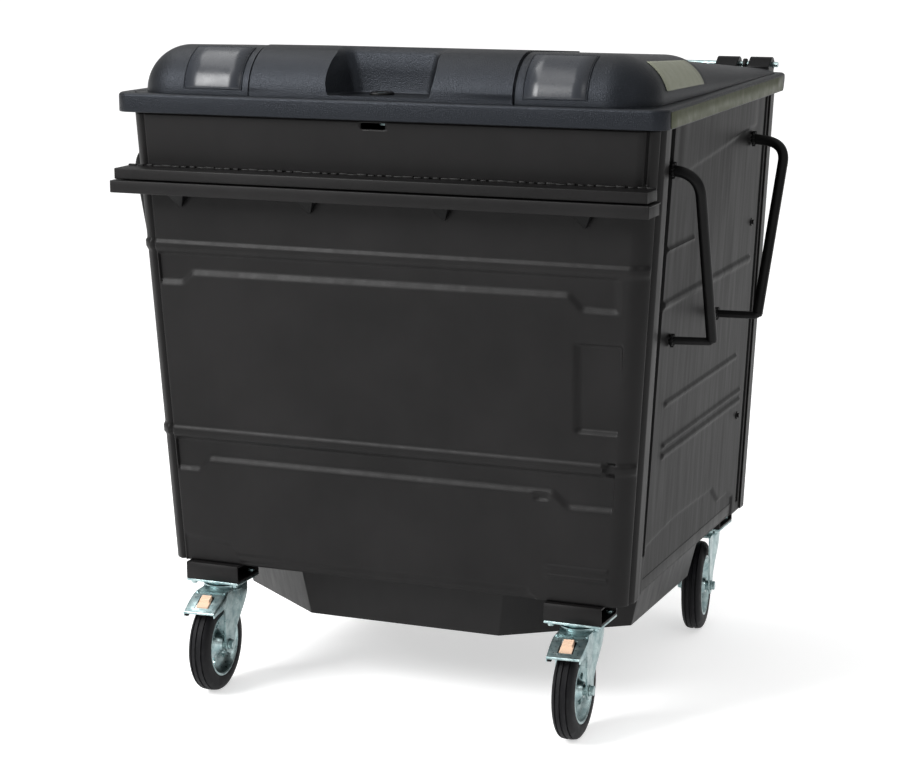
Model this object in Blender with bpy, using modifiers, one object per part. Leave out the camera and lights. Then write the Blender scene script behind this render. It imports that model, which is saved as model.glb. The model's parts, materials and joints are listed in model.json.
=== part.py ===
"""Four-wheeled steel refuse container with a hinged plastic lid, as separate parts.

Metres, +Z up, +X to the right and -Y towards the front. The container stands on Z = 0. Everything hangs
from one empty, which puts the middle of the bounding box over the origin.
"""
import math

import bmesh
import bpy
from mathutils import Matrix, Vector

MM = 0.001
GAP = 0.4 * MM                    # clearance between touching pieces
FRAME_SHIFT_Y = 12.5 * MM         # brings the middle of the whole container to Y = 0

# Steel tub: a tapered box with rounded upright corners, a little narrower at the back
TUB_TOP = 1213.0 * MM
TUB_BOTTOM = 272.0 * MM
WALL = 2.5 * MM
HALF_FRONT_TOP = 571.0 * MM
HALF_FRONT_BOTTOM = 509.0 * MM
HALF_REAR_TOP = 543.0 * MM
HALF_REAR_BOTTOM = 490.0 * MM
FRONT_TOP_Y = -444.0 * MM
FRONT_BOTTOM_Y = -430.0 * MM
REAR_Y = 475.0 * MM
CORNER_RADIUS = 40.0 * MM
SEAM_FRONT_Y = -368.0 * MM        # where the front sheet ends on the sides
SEAM_REAR_Y = 405.0 * MM          # where the rear sheet ends on the sides
LAP = 14.0 * MM                   # overlap of the side sheets behind those two
PRESS_RISE = 4.0 * MM             # how far the pressed beads stand out
FRONT_BEADS = ((954.0 * MM, 930.0 * MM), (566.0 * MM, 539.0 * MM))
SIDE_BEADS = ((868.0 * MM, 850.0 * MM), (658.0 * MM, 642.0 * MM), (572.0 * MM, 556.0 * MM))
SIDE_BEAD_ENDS = (-310.0 * MM, 335.0 * MM)

# Rolled rim around the mouth, under the lid
RIM_TOP = 1249.0 * MM
RIM_OUT = 4.0 * MM                # how far it stands outside the walls
RIM_WIDTH = 32.0 * MM

# Sump under the floor: half-plan corners from the front edge round to the rear edge
FLOOR_TOP = 300.0 * MM
HULL_BOTTOM = 163.0 * MM
HULL_TOP_PLAN = ((230.0, -375.0), (468.0, -200.0), (462.0, 215.0), (230.0, 372.0))
HULL_LOW_PLAN = ((213.0, -360.0), (440.0, -192.0), (436.0, 200.0), (213.0, 350.0))

# Lifting rail across the front
RAIL_HALF = 577.0 * MM
RAIL_FRONT_Y = -513.0 * MM
RAIL_BOTTOM = 1056.0 * MM
RAIL_LEDGE = 1081.0 * MM
RAIL_TOP = 1106.0 * MM
RAIL_STEP = 7.0 * MM              # the lower tier stands this far in front
RAIL_SHEET = 4.0 * MM
GUSSET_X = (-451.0 * MM, -158.0 * MM, 134.0 * MM, 427.0 * MM)
GUSSET_DROP = 40.0 * MM
GUSSET_WIDTH = 9.0 * MM
GUSSET_BACK = 6.0 * MM            # how far the gussets stay behind the front of the rail

# Bent tube handles on the sides: (y at the top, y at the bottom, y where the strut meets the wall)
HANDLE_RADIUS = 11.0 * MM
HANDLE_X = 617.0 * MM
HANDLE_TOP = 1128.0 * MM
HANDLE_BOTTOM = 780.0 * MM
HANDLE_BEND = 45.0 * MM
HANDLE_RUNS = {"front": (-330.0 * MM, -234.0 * MM, -250.0 * MM), "rear": (280.0 * MM, 84.0 * MM, 76.0 * MM)}

# Plastic lid
LID_BOTTOM = 1215.5 * MM
LID_TOP = 1255.0 * MM
LID_HALF_FRONT = 592.0 * MM
LID_HALF_REAR = 556.0 * MM
LID_FRONT_Y = -464.0 * MM
LID_REAR_Y = 490.0 * MM
LID_CORNER = 32.0 * MM
LID_SKIN = 5.0 * MM
DOME_RADIUS = 94.0 * MM
DOME_HALF = 556.0 * MM
DOME_FRONT_Y = -455.0 * MM
DOME_REAR_Y = -85.0 * MM
DOME_REAR_SHARE = 0.8             # height of the dome at its rear edge, as a share of its top
SADDLE_HALF = 283.0 * MM          # the middle of the dome stands a little proud
SADDLE_RISE = 3.0 * MM
SLOPE_STEP = 4.0 * MM             # the rear slope of the lid starts this far below the dome
SLOPE_REAR_Y = 446.0 * MM
SLOPE_REAR_SHARE = 0.14
SLOPE_HALF_REAR = 540.0 * MM
KNUCKLE_HALF = 275.0 * MM         # hinge tube moulded along the rear edge of the lid
KNUCKLE_RADIUS = 15.0 * MM
POCKET_HALF = 111.0 * MM
POCKET_FLOOR = 1262.0 * MM
POCKET_BACK_Y = -376.0 * MM
POCKET_CUT = 200.0 * MM           # height of the block that opens the pocket
SKIRT_CUT_HALF = 0.7              # wider than the lid, so that it opens the whole rear edge
PANEL_SHEET = 1.6 * MM
PANEL_X = (304.0 * MM, 430.0 * MM)
PANEL_ARC = (8.0, 74.0)           # degrees up the rounded front of the dome
SIDE_PANEL_Y = (-342.0 * MM, -225.0 * MM, -108.0 * MM)
SIDE_PANEL_ARC = (15.0, 58.0)

# Lid hinge
HINGE_Y = 500.0 * MM
HINGE_Z = 1270.0 * MM
ROD_RADIUS = 6.0 * MM
ROD_HALF = 534.0 * MM
HOOD_RADIUS = 16.5 * MM
HOOD_FRONT_Y = 468.0 * MM
HOOD_SPANS = ((397.0 * MM, 447.0 * MM), (472.0 * MM, 522.0 * MM))
BRACKET_X = 459.5 * MM
BRACKET_SHEET = 8.0 * MM

# Lid lock: a barrel in the pocket floor turns a cam into a slot in the front wall
LOCK_X = -18.0 * MM
LOCK_Y = -398.0 * MM
LOCK_RADIUS = 13.0 * MM
LOCK_SLOT_Z = 1203.0 * MM
LOCK_SLOT_HALF = (26.0 * MM, 6.5 * MM)
CAM_REACH = 46.0 * MM
CAM_SHEET = 4.0 * MM

# Castors, in the castor's own frame: swivel axis up through the origin, mounting face at Z = 0
CASTOR_HEIGHT = 235.0 * MM
CASTOR_X = 403.0 * MM
CASTOR_Y = 396.0 * MM
TRAIL = 45.0 * MM
WHEEL_RADIUS = 100.0 * MM
WHEEL_SEGMENTS = 32
TYRE_WIDTH = 45.0 * MM
RIM_RADIUS = 68.0 * MM
PLATE_SIZE = (121.0 * MM, 96.0 * MM, 5.0 * MM)
MOUNT_WALL = 4.0 * MM
RACE_RADII = (38.0 * MM, 42.0 * MM)    # of the swivel race under the plate, at its foot and its top
RACE_FOOT = -12.0 * MM
FORK_HEAD_RADIUS = 37.0 * MM
CROWN_Z = -20.0 * MM
LEG_X = 29.0 * MM                 # inner face of a fork leg
LEG_SHEET = 4.0 * MM
AXLE_RADIUS = 6.0 * MM
PEDAL_Y = -60.0 * MM
PEDAL_Z = -25.0 * MM
PEDAL_HALF = 22.0 * MM
FLARE_HALF = 32.0 * MM            # the pedal is wider at its front
TAB_HALF = 10.0 * MM
# Name, side, end and the angle each castor is turned to, in degrees
CASTORS = (("front_left", -1, -1, 4.0), ("front_right", 1, -1, 4.5),
           ("rear_left", -1, 1, -6.0), ("rear_right", 1, 1, 9.0))

for old in list(bpy.data.objects):
    bpy.data.objects.remove(old, do_unlink=True)

PARTS = bpy.data.collections.new("refuse_container")
CUTTERS = bpy.data.collections.new("cutters")
bpy.context.scene.collection.children.link(PARTS)
bpy.context.scene.collection.children.link(CUTTERS)


def empty(name, parent=None, location=(0.0, 0.0, 0.0), turn_z=0.0):
    """An empty that carries the parts of one moving body."""
    holder = bpy.data.objects.new(name, None)
    holder.location = location
    holder.rotation_euler = (0.0, 0.0, turn_z)
    holder.parent = parent
    PARTS.objects.link(holder)
    return holder


def material(name, colour, roughness, metallic=0.0):
    """A Principled material."""
    made = bpy.data.materials.new(name)
    made.use_nodes = True
    shader = made.node_tree.nodes["Principled BSDF"]
    shader.inputs["Base Color"].default_value = (*colour, 1.0)
    shader.inputs["Roughness"].default_value = roughness
    shader.inputs["Metallic"].default_value = metallic
    return made


BLACK_PAINT = material("black_paint", (0.028, 0.028, 0.029), 0.38)
LID_PLASTIC = material("lid_plastic", (0.035, 0.037, 0.042), 0.55)
BLACK_PLASTIC = material("black_plastic", (0.015, 0.015, 0.016), 0.4)
REFLECTOR = material("reflective_sheet", (0.02, 0.022, 0.025), 0.12)
SIDE_REFLECTOR = material("side_reflective_sheet", (0.25, 0.25, 0.2), 0.35)
ZINC = material("zinc_plate", (0.62, 0.66, 0.66), 0.3, 1.0)
TYRE_RUBBER = material("tyre_rubber", (0.02, 0.02, 0.02), 0.7)
ORANGE = material("orange_plastic", (0.75, 0.42, 0.2), 0.45)


def add_mesh(name, mesh, surface, parent, location=(0.0, 0.0, 0.0), smooth=40.0):
    """Link a mesh as a named part."""
    mesh.name = name
    part = bpy.data.objects.new(name, mesh)
    part.parent = parent
    part.location = location
    mesh.materials.append(surface)
    mesh.shade_smooth()
    mesh.set_sharp_from_angle(angle=math.radians(smooth))
    PARTS.objects.link(part)
    return part


def finish(bm, name="shape"):
    """Turn a bmesh into a mesh with its faces pointing out."""
    bmesh.ops.recalc_face_normals(bm, faces=bm.faces)
    mesh = bpy.data.meshes.new(name)
    bm.to_mesh(mesh)
    bm.free()
    return mesh


def box_mesh(centre, size):
    """A box with the given centre and size."""
    bm = bmesh.new()
    bmesh.ops.create_cube(bm, size=1.0, matrix=Matrix.Translation(centre) @ Matrix.Diagonal((*size, 1.0)))
    return finish(bm)


def rod_mesh(start, end, radius, segments=16, end_radius=None):
    """A round bar from start to end, or a cone where the end radius differs."""
    start, end = Vector(start), Vector(end)
    along = end - start
    turn = along.to_track_quat("Z", "Y").to_matrix().to_4x4()
    bm = bmesh.new()
    bmesh.ops.create_cone(bm, cap_ends=True, segments=segments, radius1=radius,
                          radius2=radius if end_radius is None else end_radius, depth=along.length,
                          matrix=Matrix.Translation((start + end) / 2) @ turn)
    return finish(bm)


def plate_mesh(outline, low, high, plane="XY", holes=()):
    """A flat outline, with round holes, extruded between two places on the axis across its plane."""
    curve = bpy.data.curves.new("outline", "CURVE")
    curve.dimensions = "2D"
    curve.fill_mode = "BOTH"
    curve.extrude = (high - low) / 2
    for loop in (outline, *(arc_points(h[0], h[1], h[2], 0.0, 360.0, 16)[:-1] for h in holes)):
        spline = curve.splines.new("POLY")
        spline.points.add(len(loop) - 1)
        for point, (u, v) in zip(spline.points, loop):
            point.co = (u, v, 0.0, 1.0)
        spline.use_cyclic_u = True
    holder = bpy.data.objects.new("outline", curve)
    PARTS.objects.link(holder)
    flat = bpy.data.meshes.new_from_object(holder.evaluated_get(bpy.context.evaluated_depsgraph_get()))
    bpy.data.objects.remove(holder)
    middle = (low + high) / 2
    turns = {"XY": Matrix.Identity(4),
             "YZ": Matrix(((0, 0, 1, 0), (1, 0, 0, 0), (0, 1, 0, 0), (0, 0, 0, 1))),
             "XZ": Matrix(((1, 0, 0, 0), (0, 0, -1, 0), (0, 1, 0, 0), (0, 0, 0, 1)))}
    flat.transform(Matrix.Translation((0.0, 0.0, middle)))
    flat.transform(turns[plane])
    bm = bmesh.new()
    bm.from_mesh(flat)
    bpy.data.meshes.remove(flat)
    bmesh.ops.remove_doubles(bm, verts=bm.verts, dist=0.00001)
    return finish(bm)


def arc_points(u, v, radius, start, end, steps):
    """Points on an arc, angles in degrees."""
    turns = [math.radians(start + (end - start) * i / steps) for i in range(steps + 1)]
    return [(u + radius * math.cos(a), v + radius * math.sin(a)) for a in turns]


def cut(part, mesh, operation="DIFFERENCE", name="cutter"):
    """Add a Boolean with a mesh, which is kept as a wire cutter beside the part."""
    tool = bpy.data.objects.new(f"{part.name}_{name}_{len(part.modifiers)}", mesh)
    tool.parent = part.parent
    tool.location = part.location
    tool.hide_render = True
    tool.display_type = "WIRE"
    CUTTERS.objects.link(tool)
    step = part.modifiers.new(name, "BOOLEAN")
    step.operation = operation
    step.object = tool
    step.solver = "EXACT"


def loft(name, rows, thickness, surface, parent, offset=-1.0, closed=False, cap=False):
    """A sheet through rows of points, thickened to one side."""
    bm = bmesh.new()
    grid = [[bm.verts.new(point) for point in row] for row in rows]
    for upper, lower in zip(grid, grid[1:]):
        count = len(upper)
        for i in range(count if closed else count - 1):
            j = (i + 1) % count
            bm.faces.new((upper[i], lower[i], lower[j], upper[j]))
    if cap:
        bm.faces.new(reversed(grid[-1]))
    mesh = bpy.data.meshes.new(name)
    bm.to_mesh(mesh)
    bm.free()
    part = add_mesh(name, mesh, surface, parent)
    shell = part.modifiers.new("sheet", "SOLIDIFY")
    shell.thickness = thickness
    shell.offset = offset
    shell.use_even_offset = True
    return part


def turned(name, profile, segments, surface, parent, location=(0.0, 0.0, 0.0)):
    """A profile of (distance along X, radius) turned about the X axis. It closes on itself off the axis."""
    bm = bmesh.new()
    points = [bm.verts.new((along, 0.0, radius)) for along, radius in reversed(profile)]
    for start, end in zip(points, points[1:]):
        bm.edges.new((start, end))
    if profile[0][1] > 0.0:
        bm.edges.new((points[-1], points[0]))
    mesh = bpy.data.meshes.new(name)
    bm.to_mesh(mesh)
    bm.free()
    part = add_mesh(name, mesh, surface, parent, location)
    screw = part.modifiers.new("turn", "SCREW")
    screw.axis = "X"
    screw.steps = segments
    screw.render_steps = segments
    screw.merge_threshold = 0.00001
    screw.use_merge_vertices = True
    screw.use_smooth_shade = False
    return part


def blend(low, high, fraction):
    """A value between two others."""
    return low + (high - low) * fraction


def fall(z):
    """How far down the wall a height is, 0 at the top and 1 at the bottom."""
    return (TUB_TOP - z) / (TUB_TOP - TUB_BOTTOM)


def side_x(y, z):
    """Half the width of the tub at a place on its side."""
    front = blend(HALF_FRONT_TOP, HALF_FRONT_BOTTOM, fall(z))
    rear = blend(HALF_REAR_TOP, HALF_REAR_BOTTOM, fall(z))
    return blend(front, rear, (y - FRONT_TOP_Y) / (REAR_Y - FRONT_TOP_Y))


def front_y(z):
    """Where the front wall is at a height."""
    return blend(FRONT_TOP_Y, FRONT_BOTTOM_Y, fall(z))


def wrap_row(z, rise, end, seam_y):
    """The front or rear sheet at one height, from its left seam round both corners to its right seam."""
    wall_y = (front_y(z) if end < 0 else REAR_Y) + end * rise
    centre_y = wall_y - end * CORNER_RADIUS
    half = side_x(centre_y, z) + rise
    arc = [(half - CORNER_RADIUS + u, centre_y + end * v)
           for u, v in arc_points(0.0, 0.0, CORNER_RADIUS, 90.0, 0.0, 5)]
    flat_y = seam_y + end * (LAP + 4 * MM)
    right = arc + [(side_x(y, z), y) for y in (flat_y, seam_y)]
    return [(-x, y, z) for x, y in reversed(right)] + [(x, y, z) for x, y in right]


def bead_levels(beads):
    """Heights from the top of the wall to its foot, each with how far the sheet is pressed out."""
    levels = [(TUB_TOP, 0.0)]
    lip = 6.0 * MM
    for high, low in beads:
        levels += [(high, 0.0), (high - lip, PRESS_RISE), (low + lip, PRESS_RISE), (low, 0.0)]
    return levels + [(TUB_BOTTOM, 0.0)]


def make_tub(root):
    """The four wall sheets, the sump floor and the rolled rim."""
    levels = bead_levels(FRONT_BEADS)
    rows = [wrap_row(z, rise, -1, SEAM_FRONT_Y) for z, rise in levels]
    front = loft("front_panel", rows, WALL, BLACK_PAINT, root)
    long, tall = LOCK_SLOT_HALF
    slot = arc_points(LOCK_X + long - tall, LOCK_SLOT_Z, tall, -90.0, 90.0, 6)
    slot += arc_points(LOCK_X - long + tall, LOCK_SLOT_Z, tall, 90.0, 270.0, 6)
    cut(front, plate_mesh(slot, 430 * MM, 460 * MM, "XZ"), name="lock_slot")
    loft("rear_panel", [wrap_row(z, rise, 1, SEAM_REAR_Y) for z, rise in levels], WALL, BLACK_PAINT, root,
         offset=1.0)
    inset = WALL + GAP
    stations = [SEAM_FRONT_Y - LAP, SIDE_BEAD_ENDS[0], SIDE_BEAD_ENDS[0] + 10 * MM,
                SIDE_BEAD_ENDS[1] - 10 * MM, SIDE_BEAD_ENDS[1], SEAM_REAR_Y + LAP]
    pressed = (0.0, 0.0, 1.0, 1.0, 0.0, 0.0)
    for side, label in ((-1, "left"), (1, "right")):
        rows = [[(side * (side_x(y, z) - inset + rise * here), y, z) for y, here in zip(stations, pressed)]
                for z, rise in bead_levels(SIDE_BEADS)]
        loft(f"{label}_side_panel", rows, WALL, BLACK_PAINT, root, offset=-side)
    make_rim(root)
    make_floor(root)


def outline_ring(z, grow):
    """The tub's plan outline at a height, grown outwards, as a closed loop."""
    front, rear = front_y(z) - grow, REAR_Y + grow
    radius = CORNER_RADIUS + grow
    right = [(side_x(front + radius, z) + grow - radius + u, front + radius - v)
             for u, v in arc_points(0.0, 0.0, radius, 90.0, 0.0, 5)]
    right += [(side_x(rear - radius, z) + grow - radius + u, rear - radius + v)
              for u, v in arc_points(0.0, 0.0, radius, 0.0, 90.0, 5)]
    return [(x, y, z) for x, y in right] + [(-x, y, z) for x, y in reversed(right)]


def make_rim(root):
    """The rolled edge welded round the mouth of the tub."""
    low = TUB_TOP + GAP
    roll = 6.0 * MM
    inner = RIM_OUT - RIM_WIDTH
    section = [(low, RIM_OUT), (RIM_TOP - roll, RIM_OUT), (RIM_TOP, RIM_OUT - roll), (RIM_TOP, inner + roll),
               (RIM_TOP - roll, inner), (low, inner)]
    bm = bmesh.new()
    loops = [[bm.verts.new((x, y, z)) for x, y, _ in outline_ring(TUB_TOP, grow)] for z, grow in section]
    count = len(loops[0])
    for k, loop in enumerate(loops):
        following = loops[(k + 1) % len(loops)]
        for i in range(count):
            j = (i + 1) % count
            bm.faces.new((loop[i], loop[j], following[j], following[i]))
    add_mesh("top_rim", finish(bm), BLACK_PAINT, root)


def make_floor(root):
    """The pressed floor: a flange inside the walls that drops to a flat-bottomed sump."""
    inset = WALL * 2 + GAP * 3
    deck_z = TUB_BOTTOM + 4 * MM

    def hull(plan, z):
        right = [(x * MM, y * MM) for x, y in plan]
        return [(x, y, z) for x, y in right + [(-x, y) for x, y in reversed(right)]]

    bm = bmesh.new()
    top = [bm.verts.new(point) for point in outline_ring(FLOOR_TOP, -inset)]
    edge = [bm.verts.new(point) for point in outline_ring(deck_z, -inset)]
    upper = [bm.verts.new(point) for point in hull(HULL_TOP_PLAN, deck_z)]
    lower = [bm.verts.new(point) for point in hull(HULL_LOW_PLAN, HULL_BOTTOM)]
    count = len(edge)
    for i in range(count):
        j = (i + 1) % count
        bm.faces.new((top[i], edge[i], edge[j], top[j]))
    deck = [bm.edges.get((edge[i], edge[(i + 1) % count])) for i in range(count)]
    count = len(upper)
    mouth = [bm.edges.new((upper[i], upper[(i + 1) % count])) for i in range(count)]
    bmesh.ops.triangle_fill(bm, edges=deck + mouth, use_beauty=True)
    for i in range(count):
        j = (i + 1) % count
        bm.faces.new((upper[i], lower[i], lower[j], upper[j]))
    bm.faces.new(lower)
    bmesh.ops.recalc_face_normals(bm, faces=bm.faces)
    mesh = bpy.data.meshes.new("floor_pan")
    bm.to_mesh(mesh)
    bm.free()
    part = add_mesh("floor_pan", mesh, BLACK_PAINT, root)
    shell = part.modifiers.new("sheet", "SOLIDIFY")
    shell.thickness = WALL
    shell.offset = -1.0
    shell.use_even_offset = True


def channel(name, half, section, root):
    """A folded strip that runs across the front, with its (y, z) section given."""
    add_mesh(name, plate_mesh(section, -half, half, "YZ"), BLACK_PAINT, root)


def make_rail(root):
    """The two-tier lifting rail with its gussets."""
    def wall(z):
        return front_y(z) - GAP

    t = RAIL_SHEET
    upper_front = RAIL_FRONT_Y + RAIL_STEP
    upper = [(wall(RAIL_TOP), RAIL_TOP), (upper_front, RAIL_TOP), (upper_front, RAIL_LEDGE + GAP),
             (upper_front + t, RAIL_LEDGE + GAP), (upper_front + t, RAIL_TOP - t),
             (wall(RAIL_TOP - t), RAIL_TOP - t)]
    channel("rail_upper", RAIL_HALF - 6 * MM, upper, root)
    lower = [(wall(RAIL_LEDGE), RAIL_LEDGE), (RAIL_FRONT_Y, RAIL_LEDGE), (RAIL_FRONT_Y, RAIL_BOTTOM),
             (RAIL_FRONT_Y + t, RAIL_BOTTOM), (RAIL_FRONT_Y + t, RAIL_LEDGE - t),
             (wall(RAIL_LEDGE - t), RAIL_LEDGE - t)]
    channel("rail_lower", RAIL_HALF, lower, root)
    top = RAIL_LEDGE - t - GAP
    for number, x in enumerate(GUSSET_X, start=1):
        front = RAIL_FRONT_Y + t + GUSSET_BACK
        web = [(wall(top), top), (front, top), (front, RAIL_BOTTOM + 4 * MM),
               (wall(top - GUSSET_DROP), top - GUSSET_DROP)]
        add_mesh(f"rail_gusset_{number}", plate_mesh(web, x - GUSSET_WIDTH / 2, x + GUSSET_WIDTH / 2, "YZ"),
                 BLACK_PAINT, root)


def rounded_route(points, radius, steps):
    """A route through the points with its inner corners rounded."""
    route = [Vector(points[0])]
    for before, corner, after in zip(points, points[1:], points[2:]):
        before, corner, after = Vector(before), Vector(corner), Vector(after)
        into, out = (before - corner).normalized(), (after - corner).normalized()
        for i in range(steps + 1):
            t = i / steps
            start, end = corner + into * radius, corner + out * radius
            route.append(start * (1 - t) ** 2 + corner * 2 * t * (1 - t) + end * t * t)
    route.append(Vector(points[-1]))
    return route


def tube(name, route, radius, surface, parent):
    """A round tube along a route."""
    curve = bpy.data.curves.new(name, "CURVE")
    curve.dimensions = "3D"
    curve.bevel_depth = radius
    curve.bevel_resolution = 3
    curve.use_fill_caps = True
    spline = curve.splines.new("POLY")
    spline.points.add(len(route) - 1)
    for point, place in zip(spline.points, route):
        point.co = (*place, 1.0)
    part = bpy.data.objects.new(name, curve)
    part.parent = parent
    curve.materials.append(surface)
    PARTS.objects.link(part)
    return part


def make_handles(root):
    """Four bent tube handles, two a side."""
    clear = GAP + 1.5 * MM
    for end, (top_y, bottom_y, wall_y) in HANDLE_RUNS.items():
        for side, label in ((-1, "left"), (1, "right")):
            start = (side * (side_x(top_y, HANDLE_TOP) + clear), top_y, HANDLE_TOP)
            bend = (side * HANDLE_X, top_y, HANDLE_TOP - 8 * MM)
            elbow = (side * HANDLE_X, bottom_y, HANDLE_BOTTOM)
            foot = (side * (side_x(wall_y, HANDLE_BOTTOM) + clear), wall_y, HANDLE_BOTTOM)
            upper = rounded_route([start, bend, elbow], HANDLE_BEND, 6)[:-1]
            lower = rounded_route([bend, elbow, foot], HANDLE_RADIUS * 1.1, 2)[1:]
            tube(f"handle_{end}_{label}", upper + lower, HANDLE_RADIUS, BLACK_PAINT, root)


def make_hinge_base(root):
    """The hinge rod and the two brackets that carry it on the rim."""
    rod = rod_mesh((-ROD_HALF, HINGE_Y, HINGE_Z), (ROD_HALF, HINGE_Y, HINGE_Z), ROD_RADIUS)
    add_mesh("hinge_rod", rod, ZINC, root)
    foot_y = REAR_Y + RIM_OUT + GAP
    strap = [(foot_y, TUB_TOP), (foot_y + 8 * MM, TUB_TOP), (HINGE_Y + 9 * MM, HINGE_Z - 14 * MM)]
    strap += arc_points(HINGE_Y, HINGE_Z, 12 * MM, -20.0, 200.0, 8)
    strap += [(HINGE_Y - 8.5 * MM, HINGE_Z - 14 * MM), (HINGE_Y - 8.5 * MM, HINGE_Z - 24 * MM),
              (foot_y, HINGE_Z - 32 * MM)]
    for side, label in ((-1, "left"), (1, "right")):
        middle = side * BRACKET_X
        sheet = plate_mesh(strap, middle - BRACKET_SHEET / 2, middle + BRACKET_SHEET / 2, "YZ",
                           holes=((HINGE_Y, HINGE_Z, ROD_RADIUS + GAP),))
        add_mesh(f"hinge_bracket_{label}", sheet, BLACK_PAINT, root)


def lid_half(y):
    """Half the width of the lid at a place along its depth."""
    return blend(LID_HALF_FRONT, LID_HALF_REAR, (y - LID_FRONT_Y) / (LID_REAR_Y - LID_FRONT_Y))


def lid_outline(inset, rear_y):
    """The lid's plan outline, pulled in by an inset."""
    front, radius, rear_radius = LID_FRONT_Y + inset, LID_CORNER - inset / 2, 12 * MM
    right = [(lid_half(front) - inset - radius + u, front + radius - v)
             for u, v in arc_points(0.0, 0.0, radius, 90.0, 0.0, 6)]
    right += [(lid_half(rear_y) - inset - rear_radius + u, rear_y - rear_radius + v)
              for u, v in arc_points(0.0, 0.0, rear_radius, 0.0, 90.0, 4)]
    return right + [(-x, y) for x, y in reversed(right)]


def dome_share(y):
    """Height of the dome behind its rounded front, as a share of its top."""
    front = DOME_FRONT_Y + DOME_RADIUS
    return blend(1.0, DOME_REAR_SHARE, max(0.0, (y - front) / (DOME_REAR_Y - front)))


def section(y, flat, corner, height, base, steps=6):
    """One cross-section of the lid's top: a flat middle with quarter-round ends, down to a base."""
    arc = arc_points(0.0, 0.0, 1.0, 90.0, 0.0, steps)
    right = [(flat + u * corner, LID_TOP + v * height) for u, v in arc]
    right.append((flat + corner, base))
    return [(x, y, z) for x, z in right] + [(-x, y, z) for x, z in reversed(right)]


def solid_rows(rows):
    """A closed solid through a row of closed outlines."""
    bm = bmesh.new()
    loops = [[bm.verts.new(point) for point in row] for row in rows]
    count = len(rows[0])
    for before, after in zip(loops, loops[1:]):
        for i in range(count):
            bm.faces.new((before[i], before[(i + 1) % count], after[(i + 1) % count], after[i]))
    bm.faces.new(loops[0])
    bm.faces.new(loops[-1])
    return finish(bm)


def dome_mesh(inset, base, half=DOME_HALF, rise=0.0, square=False):
    """The raised front of the lid, with a rounded front. Its top falls towards the rear."""
    radius = DOME_RADIUS - inset + rise
    front = DOME_FRONT_Y + DOME_RADIUS
    flat = half - DOME_RADIUS
    rows = []
    for u, v in arc_points(0.0, 0.0, radius, 6.0, 90.0, 7):
        rows.append((front - u, v, v))
    rows += [(y, radius * dome_share(y), radius)
             for y in (DOME_REAR_Y - 140 * MM, DOME_REAR_Y - inset)]
    if square:
        return solid_rows([section(y, half - inset, 0.5 * MM, height, base, 1) for y, height, _ in rows])
    return solid_rows([section(y, flat, corner, height, base) for y, height, corner in rows])


def slope_mesh(inset, base):
    """The rear of the lid, which falls from the dome to the hinge."""
    stations = 5
    high = DOME_REAR_SHARE * DOME_RADIUS - SLOPE_STEP
    rows = []
    for i in range(stations):
        along = i / (stations - 1)
        y = blend(DOME_REAR_Y - DOME_RADIUS / 2, SLOPE_REAR_Y - inset, along)
        half = blend(DOME_HALF, SLOPE_HALF_REAR, along) - inset
        height = blend(high, SLOPE_REAR_SHARE * DOME_RADIUS, along) - inset
        corner = DOME_RADIUS - inset
        rows.append(section(y, half - corner, corner, height, base))
    return solid_rows(rows)


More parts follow.
